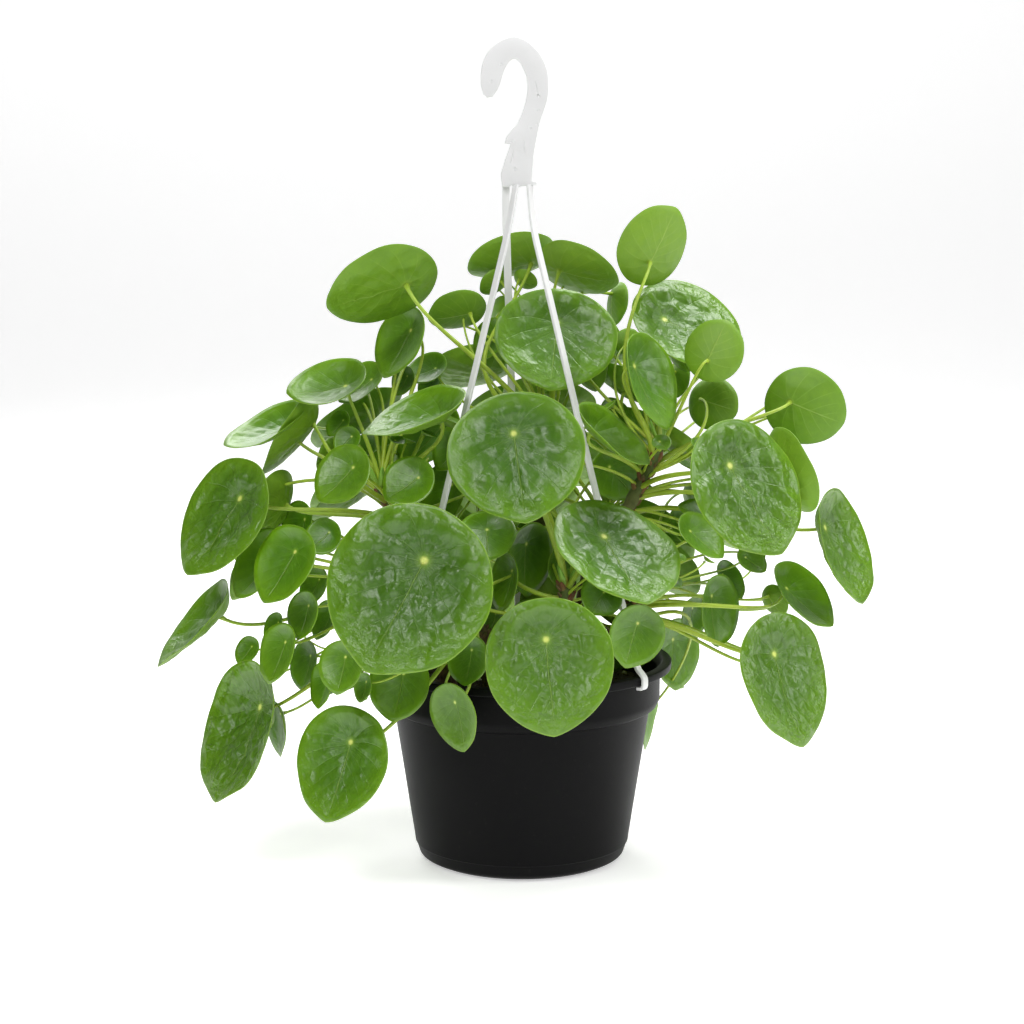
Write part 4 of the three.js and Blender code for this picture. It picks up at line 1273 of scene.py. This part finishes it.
# %% The hook
HOOK_OUTLINE = [
    (487.3, 97.8), (483.5, 94.6), (481.2, 88), (480.5, 80.5), (480.9, 73), (482.3, 64.2),
    (485.1, 56.8), (490.2, 49), (497.3, 42.9), (505.1, 39), (513, 37.3), (520.8, 38.5),
    (527.7, 41.9), (534.3, 47.5), (539.9, 54.3), (544.1, 61.9), (547, 69.8), (548.3, 78.6),
    (548.5, 87.3), (547.9, 96.3), (546, 104.4), (543, 113.2), (540.3, 121), (538.6, 127.7),
    (536.9, 136.6), (535.3, 145.5), (533.7, 155.6), (532.9, 165.6), (532.3, 174.5), (532.1, 181),
    (536.9, 181.8), (537.3, 184.3), (531.9, 185.6), (528.6, 187), (525, 186), (521.5, 186.2),
    (518.5, 187.2), (515.2, 186.2), (511.2, 185.5), (508.6, 187), (505, 187.8), (502, 187),
    (501.2, 181), (500.7, 173.4), (502.7, 167.3), (505.2, 158.9), (508, 151.1), (510.3, 144.2),
    (504.4, 143.4), (506.6, 136.6), (511.4, 130), (516.9, 124.3), (519.2, 119.9),
    (522.6, 110.9), (525.3, 102), (526.8, 94.2), (527.3, 87.5), (526.8, 80.8), (525.3, 74.1),
    (523, 68.5), (520.2, 63.5), (516.9, 59.8), (513.8, 58.8), (510.2, 60.7), (506.9, 65.2),
    (504.1, 70.8), (502.4, 76.3), (499, 86.9), (495.7, 93.1), (492.3, 97.2),
]
hook_corners = np.array([vertex.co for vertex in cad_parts["hook"].data.vertices])
HOOK_BOX = [hook_corners.min(axis=0), hook_corners.max(axis=0)]
DIMPLES = [
    (500.7, 64.6, 1.5, 1.3, 20), (491.2, 81.4, 1.5, 1.3, 0), (538.1, 96.4, 1.5, 1.3, 0),
    (538.1, 110.4, 1.9, 1.3, 60), (530.3, 127.7, 1.6, 1.5, 0), (537, 124.9, 1.3, 1.1, 0),
    (512.4, 141.4, 2.0, 1.3, 70), (515.2, 169, 1.6, 1.4, 0), (536.4, 88, 6.0, 1.0, -14),
    (524.6, 148, 7.5, 1.0, -8), (512.3, 157, 6.0, 0.9, 12),
]


def dimples(depth):
    """Flattened balls that dip a little into both faces of the hook."""
    balls = bmesh.new()
    for (u, v, tall, wide, lean), side in itertools.product(DIMPLES, (-1, 1)):
        place = seen_at(u, v, 0)
        place[1] = side * (depth / 2 + 0.8 * MM)
        ball = bmesh.ops.create_uvsphere(balls, u_segments=20, v_segments=14, radius=1)
        shape = Matrix.LocRotScale(Vector(place), Euler((0, math.radians(lean), 0)),
                                   Vector((wide * MM, 1.2 * MM, tall * MM)))
        bmesh.ops.transform(balls, matrix=shape, verts=ball["verts"])
    return balls


def finer(outline, corner=42, steps=3):
    """A smooth closed line through points, which keeps corners sharper than an angle."""
    ahead = np.roll(outline, -1, axis=0) - outline
    behind = outline - np.roll(outline, 1, axis=0)
    heading = np.arctan2(ahead[:, 1], ahead[:, 0]) - np.arctan2(behind[:, 1], behind[:, 0])
    bend = abs((heading + np.pi) % (2 * np.pi) - np.pi)
    sharp = (bend > math.radians(corner))[:, None]
    reach, back = (np.linalg.norm(part, axis=1)[:, None] for part in (ahead, behind))
    tangent = (ahead / reach + behind / back) / 2
    leave = np.where(sharp, ahead / reach, tangent) * reach
    arrive = np.roll(np.where(sharp, behind / back, tangent), -1, axis=0) * reach
    after = np.roll(outline, -1, axis=0)
    line = []
    for i, here in enumerate(outline):
        for t in np.arange(steps) / steps:
            line.append((2 * t**3 - 3 * t**2 + 1) * here + (t**3 - 2 * t**2 + t) * leave[i]
                        + (3 * t**2 - 2 * t**3) * after[i] + (t**3 - t**2) * arrive[i])
    return np.array(line)


def make_hook_mesh():
    low, high = HOOK_BOX
    line = finer(np.array([seen_at(u, v, 0)[[0, 2]] for u, v in HOOK_OUTLINE]))
    line = np.clip(line, low[[0, 2]], high[[0, 2]])
    mesh = bmesh.new()
    rings = [[mesh.verts.new((x, y, z)) for x, z in line] for y in (low[1], high[1])]
    front, back = mesh.faces.new(rings[0]), mesh.faces.new(rings[1][::-1])
    border = [*front.edges, *back.edges]
    for i in range(len(line)):
        j = (i + 1) % len(line)
        mesh.faces.new((rings[0][j], rings[0][i], rings[1][i], rings[1][j]))
    bmesh.ops.recalc_face_normals(mesh, faces=mesh.faces)
    bmesh.ops.bevel(mesh, geom=border, offset=0.7 * MM, segments=4, profile=0.5,
                    affect="EDGES", clamp_overlap=True)
    bmesh.ops.triangulate(mesh, faces=[face for face in mesh.faces if len(face.verts) > 4])
    made = bpy.data.meshes.new("hook_body")
    mesh.to_mesh(made)
    mesh.free()
    return made


# %% The straps
HOOK_FOOT = (501, 187)
STRAPS = {
    "arm_rear": ((505.8, 190, 4), (506.2, 225, 6), 91),
    "arm_left": ((516, 190, -2), (509.5, 225, -6), 217.5),
    "arm_right": ((529.5, 190, -2), (532.5, 225, -5), 320.8),
}
STRAP_WIDTH = 4.6
STRAP_THICKNESS = 2
STRAP_EDGE = 0.55


def strap_course(top, bend, angle):
    """The middle of a strap, as corners with a rounding each, in metres."""
    turn = math.radians(angle)
    over = LIP_RADIUS + 0.3 + STRAP_THICKNESS / 2
    under = POT_HEIGHT - 5 - 1.9
    clip = [
        (LIP_RADIUS - 4, POT_HEIGHT + 4.4, 4), (LIP_RADIUS - 0.8, POT_HEIGHT + 1.8, 1.6),
        (over, POT_HEIGHT - 0.6, 1.6), (over, under + 1.4, 1.4), (over - 1.2, under, 1.4),
        (over - 4.5, under, 0),
    ]
    foot = seen_at(*HOOK_FOOT, 0)[2] + 1.5 * MM
    start = np.append(seen_at(top[0], top[1], top[2] * MM)[:2], foot)
    corners = [(start, 0), (seen_at(bend[0], bend[1], bend[2] * MM), 12 * MM)]
    for radius, height, rounding in clip:
        place = np.array([radius * math.cos(turn), radius * math.sin(turn), height]) * MM
        corners.append((place, rounding * MM))
    return corners


def make_strap(top, bend, angle):
    turn = math.radians(angle)
    side = np.array([-math.sin(turn), math.cos(turn), 0])
    line = rounded(strap_course(top, bend, angle), steps=8)
    along = np.gradient(line, axis=0)
    along /= np.linalg.norm(along, axis=1)[:, None]
    across = np.cross(along, side)
    across /= np.linalg.norm(across, axis=1)[:, None]
    half_w, half_t = STRAP_WIDTH / 2, STRAP_THICKNESS / 2
    section = rounded([((half_w, -half_t), STRAP_EDGE), ((half_w, half_t), STRAP_EDGE),
                       ((-half_w, half_t), STRAP_EDGE), ((-half_w, -half_t), STRAP_EDGE)],
                      closed=True, steps=5) * MM
    points = line[:, None] + section[None, :, :1] * side + section[None, :, 1:] * across[:, None]
    around = len(section)
    faces = [face[::-1] for face in grid_faces(len(line), around)]
    faces.append(range(around))
    faces.append(range(len(line) * around - 1, (len(line) - 1) * around - 1, -1))
    parts = Parts()
    parts.add(points, faces)
    return parts


# %% [markdown]
# ## The finish of a blade
#
# A blade is waxy and deep green, with a yellow dot, thin pale veins that leave it, a lighter
# rim and a puckered skin between the veins. Its underside is paler and dull, and its colour is
# lightened further by painted glow that stands in for light shining through the thin blade. A
# painted picture would blur from near and repeat on each blade. So colour and relief are
# formulas over the values that the mesh carries, and the seed of a blade makes its blotches its
# own. Light passes a little way into the thin skin.

# %% Blade
def leaf_finish():
    leaf = Finish("pilea_blade")
    out, vein, way, crowd, rib, ahead, near, size, tone, under = (
        leaf.attribute(key) for key in (
            "out", "vein", "way", "crowd", "rib", "ahead", "near", "size", "tone", "under"))
    seed = tone * 37.0
    large = size.between(0.45, 0.95)
    blotch = leaf.noise(leaf.vector(vein * 0.7, way * 0.9, seed), 1.6)
    grain = leaf.noise(leaf.place(), 1300.0, detail=2.0)

    off_vein = vein.to_nearest() / crowd
    fade = 1.0 - out.between(0.70, 0.95)
    side_vein = (1.0 - off_vein.between(0.10, 0.50)) * fade * near.between(2.0, 5.0)
    midrib = (1.0 - rib.between(0.15, 0.60)) * ahead.between(0.0, 2.0) * (
        1.0 - out.between(0.55, 0.95))
    net = leaf.node("ShaderNodeTexVoronoi", {"feature": "DISTANCE_TO_EDGE"},
                    Vector=leaf.vector(vein, way * 0.8, seed), Scale=5.0)
    fine_vein = 1.0 - net.between(0.02, 0.10)
    rays = leaf.noise(leaf.vector(vein * 3.4, way * 0.5, seed), 2.2, detail=3.0)
    ray_zone = (1.0 - near.between(6.0, 24.0)) * near.between(1.0, 3.0)
    from_dot = near / (size * 1.3).at_least(0.3)
    spot = 1.0 - (from_dot + (blotch - 0.5) * 0.6).between(0.7, 2.5)
    halo = 1.0 - from_dot.between(1.2, 5.0)
    margin = out.between(0.984, 0.996)

    heart = leaf.mix(large, (0.076, 0.205, 0.003), (0.036, 0.116, 0.004))
    rim = leaf.mix(large, (0.155, 0.335, 0.003), (0.120, 0.272, 0.003))
    toward_rim = (out + (blotch - 0.5) * 0.6).between(0.45, 1.10)
    upper = leaf.mix(toward_rim, heart, rim)
    upper = leaf.mix(tone * 0.35, upper, (0.132, 0.268, 0.003))
    upper = leaf.mix(blotch.between(0.40, 0.70) * 0.4, upper, (0.034, 0.115, 0.003))
    upper = leaf.mix(fine_vein * 0.06, upper, (0.16, 0.32, 0.02))
    upper = leaf.mix(side_vein * 0.10, upper, (0.20, 0.38, 0.04))
    upper = leaf.mix(rays.between(0.52, 0.70) * ray_zone * 0.25, upper, (0.23, 0.40, 0.08))
    upper = leaf.mix(midrib * 0.35, upper, (0.28, 0.44, 0.06))
    upper = leaf.mix(margin * 0.4, upper, (0.30, 0.48, 0.04))
    upper = leaf.mix(halo * 0.5, upper, (0.25, 0.43, 0.03))
    upper = leaf.mix(spot, upper, (0.64, 0.72, 0.16))

    # Underside colour: its own paler green, made lighter still as painted glow for light shining
    # through the thin blade, more so on blades of high tone.
    underside_and_painted_glow = leaf.mix(blotch, (0.115, 0.270, 0.004), (0.190, 0.370, 0.007))
    underside_and_painted_glow = leaf.mix(tone * 0.4, underside_and_painted_glow, (0.29, 0.46, 0.03))
    underside_and_painted_glow = leaf.mix(side_vein * 0.3, underside_and_painted_glow, (0.28, 0.46, 0.05))
    underside_and_painted_glow = leaf.mix(midrib * 0.6, underside_and_painted_glow, (0.34, 0.52, 0.08))
    underside_and_painted_glow = leaf.mix(fine_vein * 0.12, underside_and_painted_glow, (0.09, 0.23, 0.01))
    underside_and_painted_glow = leaf.mix(halo * 0.7, underside_and_painted_glow, (0.36, 0.52, 0.06))

    flat_x, flat_y = leaf.attribute("ahead"), leaf.attribute("aside")
    crinkle = leaf.noise(leaf.vector(flat_x * 0.085, flat_y * 0.13, seed), 1.0, detail=1.2,
                         roughness=0.4, distortion=0.5)
    wrinkle = leaf.noise(leaf.vector(vein * 1.1, way * 1.6, seed), 1.1, detail=1.0,
                         roughness=0.4, distortion=0.4)
    spacing = 1.0 / crowd.at_least(0.12)
    edge = out + (blotch - 0.5) * 0.3
    middle = near.between(4.0, 14.0) * (1.0 - edge.between(0.76, 1.0) * 0.85)
    pucker = (crinkle * 2.4 + wrinkle * spacing * 0.20) * middle * (tone * 0.9 + 0.55)
    pucker = pucker + rays * ray_zone * 0.5
    groove = (side_vein * 0.22 + fine_vein * 0.03) * (large * 0.8 + 0.2) + midrib * 0.35
    relief = pucker * (large * 0.85 + 0.15) + groove * (under * 1.6 - 1.0)
    relief = relief + grain * 0.02
    return leaf.surface(
        Base_Color=leaf.mix(under, upper, underside_and_painted_glow),
        Roughness=0.31 + blotch * 0.10 + under * 0.20,
        Normal=leaf.bump(relief, 0.001, 1.0),
        Subsurface_Weight=0.12, Subsurface_Scale=0.0012, Subsurface_Radius=(0.6, 1.0, 0.2),
        Specular_IOR_Level=0.6,
    )


# %% [markdown]
# ## The finish of stalks and trunks
#
# A stalk is smooth, translucent and yellow-green, and brown at its foot. A trunk is corky and
# brown, and greener toward its crown, with red-brown scales and bright buds. The way along
# each tube is enough to blend from one to the other, and fine noise gives the bark its pits.

# %% Stalk and trunk
def stalk_finish():
    stalk = Finish("pilea_stalk")
    along, tone = stalk.attribute("along"), stalk.attribute("tone")
    mottle = stalk.noise(stalk.place(), 260.0)
    colour = stalk.mix(along, (0.33, 0.45, 0.028), (0.36, 0.52, 0.055))
    colour = stalk.mix(tone * 0.5, colour, (0.44, 0.55, 0.040))
    colour = stalk.mix(mottle.between(0.45, 0.75) * 0.3, colour, (0.17, 0.31, 0.03))
    foot = (1.0 - along.between(0.0, 0.09)) * 0.55
    colour = stalk.mix(foot, colour, (0.30, 0.17, 0.05))
    return stalk.surface(
        Base_Color=colour, Roughness=0.38 + mottle * 0.15,
        Normal=stalk.bump(mottle, 0.0003),
        Subsurface_Weight=0.25, Subsurface_Scale=0.002, Subsurface_Radius=(0.7, 1.0, 0.3),
    )


def trunk_finish():
    trunk = Finish("pilea_trunk")
    along, kind, tone = (trunk.attribute(key) for key in ("along", "kind", "tone"))
    place = trunk.place()
    bark = trunk.noise(place, 190.0, detail=5.0, roughness=0.65)
    rings = trunk.noise(place, 420.0, detail=2.0)
    skin = trunk.mix(bark.between(0.3, 0.7), (0.060, 0.030, 0.016), (0.17, 0.105, 0.05))
    green = along.between(0.35, 0.9) * 0.75
    skin = trunk.mix(green, skin, (0.075, 0.135, 0.020))
    scale = trunk.mix(along + tone * 0.3, (0.20, 0.15, 0.04), (0.16, 0.055, 0.022))
    bud = trunk.mix(along, (0.26, 0.42, 0.05), (0.20, 0.44, 0.045))
    colour = trunk.mix(kind.between(0.1, 0.5), skin, scale)
    colour = trunk.mix(kind.between(0.6, 1.0), colour, bud)
    return trunk.surface(
        Base_Color=colour, Roughness=0.78 - kind.between(0.6, 1.0) * 0.35,
        Normal=trunk.bump(bark + rings * 0.4, 0.0008),
    )


# %% [markdown]
# ## The finishes of pot, soil and hanger
#
# The pot is satin black plastic with a trace of dust, the soil dark peat with white grains,
# and the hanger milky white plastic that lets in some light. All three are even, so noise in
# the object's own space is enough, and no seam shows where a surface bends.

# %% Pot, soil and hanger
def pot_finish():
    pot = Finish("pot_plastic")
    place = pot.place()
    grain = pot.noise(place, 2600.0, detail=2.0)
    cloud = pot.noise(place, 22.0, detail=4.0)
    dust = pot.noise(place, 340.0, detail=4.0).between(0.62, 0.8)
    colour = pot.mix(cloud * 0.5, (0.0030, 0.0030, 0.0034), (0.0056, 0.0054, 0.0056))
    colour = pot.mix(dust * 0.05, colour, (0.12, 0.11, 0.10))
    return pot.surface(
        Base_Color=colour, Roughness=0.40 + cloud * 0.08 + grain * 0.06,
        Normal=pot.bump(grain, 0.00005), Specular_IOR_Level=0.08,
    )


def soil_finish():
    soil = Finish("potting_soil")
    kind, tone = soil.attribute("kind"), soil.attribute("tone")
    place = soil.place()
    crumb = soil.noise(place, 420.0, detail=6.0, roughness=0.7)
    dark = soil.mix(crumb.between(0.3, 0.7), (0.007, 0.0045, 0.003), (0.045, 0.026, 0.014))
    dark = soil.mix(tone * 0.35, dark, (0.075, 0.042, 0.02))
    white = soil.mix(crumb, (0.42, 0.40, 0.35), (0.66, 0.64, 0.60))
    return soil.surface(
        Base_Color=soil.mix(kind, dark, white), Roughness=0.86 + crumb * 0.1,
        Normal=soil.bump(crumb, 0.0012),
    )


def hanger_finish(name, darkest, lightest):
    hanger = Finish(name)
    place = hanger.place()
    cloud = hanger.noise(place, 60.0, detail=4.0)
    scratch = hanger.noise(place, 700.0, detail=2.0, distortion=2.0)
    colour = hanger.mix(cloud, (darkest,) * 3, (lightest,) * 3)
    return hanger.surface(
        Base_Color=colour, Roughness=0.30 + scratch * 0.12,
        Normal=hanger.bump(cloud + scratch * 0.2, 0.0002),
        Subsurface_Weight=0.15, Subsurface_Scale=0.004, Subsurface_Radius=(1.0, 1.0, 1.0),
    )


# %% [markdown]
# ## The pieces
#
# Now every node gets its piece or pieces. One seeded stream of chance gives the small
# differences between neighbours, so the plant comes out the same each time.

# %% Making the plant
blade_material, stalk_material, trunk_material = leaf_finish(), stalk_finish(), trunk_finish()
for name, leaves in blades.items():
    blade_parts, stalk_parts, trunk_parts = Parts(), Parts(), Parts()
    for leaf, points in zip(leaves, stalks[name]):
        add_blade(blade_parts, leaf, chance)
        add_stalk(stalk_parts, points, leaf.length, chance)
    add_trunk(trunk_parts, trunks[name], chance)
    add_crown(trunk_parts, trunks[name], stalks[name], chance)
    make_piece(f"{name}_blades", blade_parts, [name], blade_material)
    make_piece(f"{name}_stalks", stalk_parts, [name], stalk_material)
    make_piece(f"{name}_trunk", trunk_parts, [name], trunk_material)

# %% Making the pot, the soil and the hanger
pot_parts = Parts()
pot_parts.add(*turned(rounded(POT_PROFILE), COLUMNS))
pot_mesh = bpy.data.meshes.new("pot_wall")
pot_mesh.from_pydata(np.concatenate(pot_parts.points), [], pot_parts.faces)
pot = add_object("pot_wall", pot_mesh)
cut_out(pot, drain_holes())
finish_piece(pot, ["pot"], pot_finish(), sharp=40)

soil_material = soil_finish()
make_piece("soil_bed", make_soil_bed(), ["soil"], soil_material)
make_piece("soil_crumbs", make_crumbs(chance), ["soil"], soil_material)

hook_material = hanger_finish("hook_plastic", 0.735, 0.80)
# The straps get a copy of the hook's white plastic made a little lighter: painted light that
# offsets the shade they hang in.
strap_material_lightened_for_shade = hanger_finish("strap_plastic_lightened_for_shade", 0.75, 0.81)
hook = add_object("hook_body", make_hook_mesh())
cut_out(hook, dimples(HOOK_BOX[1][1] - HOOK_BOX[0][1]))
finish_piece(hook, ["hook"], hook_material, sharp=30)
for name, row in STRAPS.items():
    make_piece(f"{name}_strap", make_strap(*row), [name], strap_material_lightened_for_shade, sharp=50)

# %% [markdown]
# ## Floor and light
#
# A pale floor runs up into a backdrop. It glows a little, so that it stays white under soft
# light, and it ends a short way in front of the plant, so that glossy blades mirror a darker
# room below. Large soft lights stand round the plant. Each is written as its place, its size in
# metres and its power: a key at the upper left, a weak one low in front, one at the right, and
# two above and behind that let the thin blades glow.

# %% The stage
FLOOR_FRONT = -0.75
FLOOR_REACH = 3.2
FLOOR_SIDE = 4.0
FLOOR_GAP = 0.5 * MM
FLOOR_GLOW = 0.49
BACKDROP_HEIGHT = 3.4
SWEEP = 0.9
WORLD_GLOW = 0.07
LIGHTS = {
    "key": ((-0.7, -1.2, 1.5), (0.7, 0.6), 14),
    "front": ((-0.15, -1.7, 1.0), (0.9, 0.40), 8),
    "right": ((1.6, -0.3, 0.95), (0.7, 0.8), 11),
    "overhead": ((0.6, 0.3, 1.9), (1.1, 0.9), 32),
    "back": ((-0.6, 1.5, 1.5), (1.0, 0.8), 16),
}


def make_stage():
    line = rounded([((FLOOR_FRONT, 0), 0), ((FLOOR_REACH, 0), SWEEP),
                    ((FLOOR_REACH, BACKDROP_HEIGHT), 0)], steps=16)
    rows = [[(x, y, z - FLOOR_GAP) for y, z in line] for x in (-FLOOR_SIDE, FLOOR_SIDE)]
    mesh = bpy.data.meshes.new("floor")
    mesh.from_pydata(rows[0] + rows[1], [],
                     grid_faces(2, len(line), closed=False)[:, ::-1].tolist())
    mesh.shade_smooth()
    paper = Finish("studio_paper")
    fibre = paper.noise(paper.place(), 40.0)
    mesh.materials.append(paper.surface(
        Base_Color=paper.mix(fibre, (0.86, 0.86, 0.86), (0.88, 0.88, 0.88)), Roughness=0.9,
        Emission_Color=(1.0, 1.0, 1.0), Emission_Strength=FLOOR_GLOW))
    add_object("floor", mesh)


def make_light(name, place, size, power, target=(0, 0, 0.2)):
    data = bpy.data.lights.new(name, "AREA")
    data.shape, data.size, data.size_y, data.energy = "RECTANGLE", size[0], size[1], power
    light = add_object(name, data)
    light.location = place
    aim = Vector(target) - Vector(place)
    light.rotation_euler = aim.to_track_quat("-Z", "Y").to_euler()


def make_world():
    world = bpy.data.worlds.new("studio")
    world.use_nodes = True
    background = world.node_tree.nodes["Background"]
    background.inputs["Color"].default_value = (1, 1, 1, 1)
    background.inputs["Strength"].default_value = WORLD_GLOW
    bpy.context.scene.world = world


make_stage()
make_world()
for name, row in LIGHTS.items():
    make_light(name, *row)
bpy.context.scene.view_settings.view_transform = "Standard"
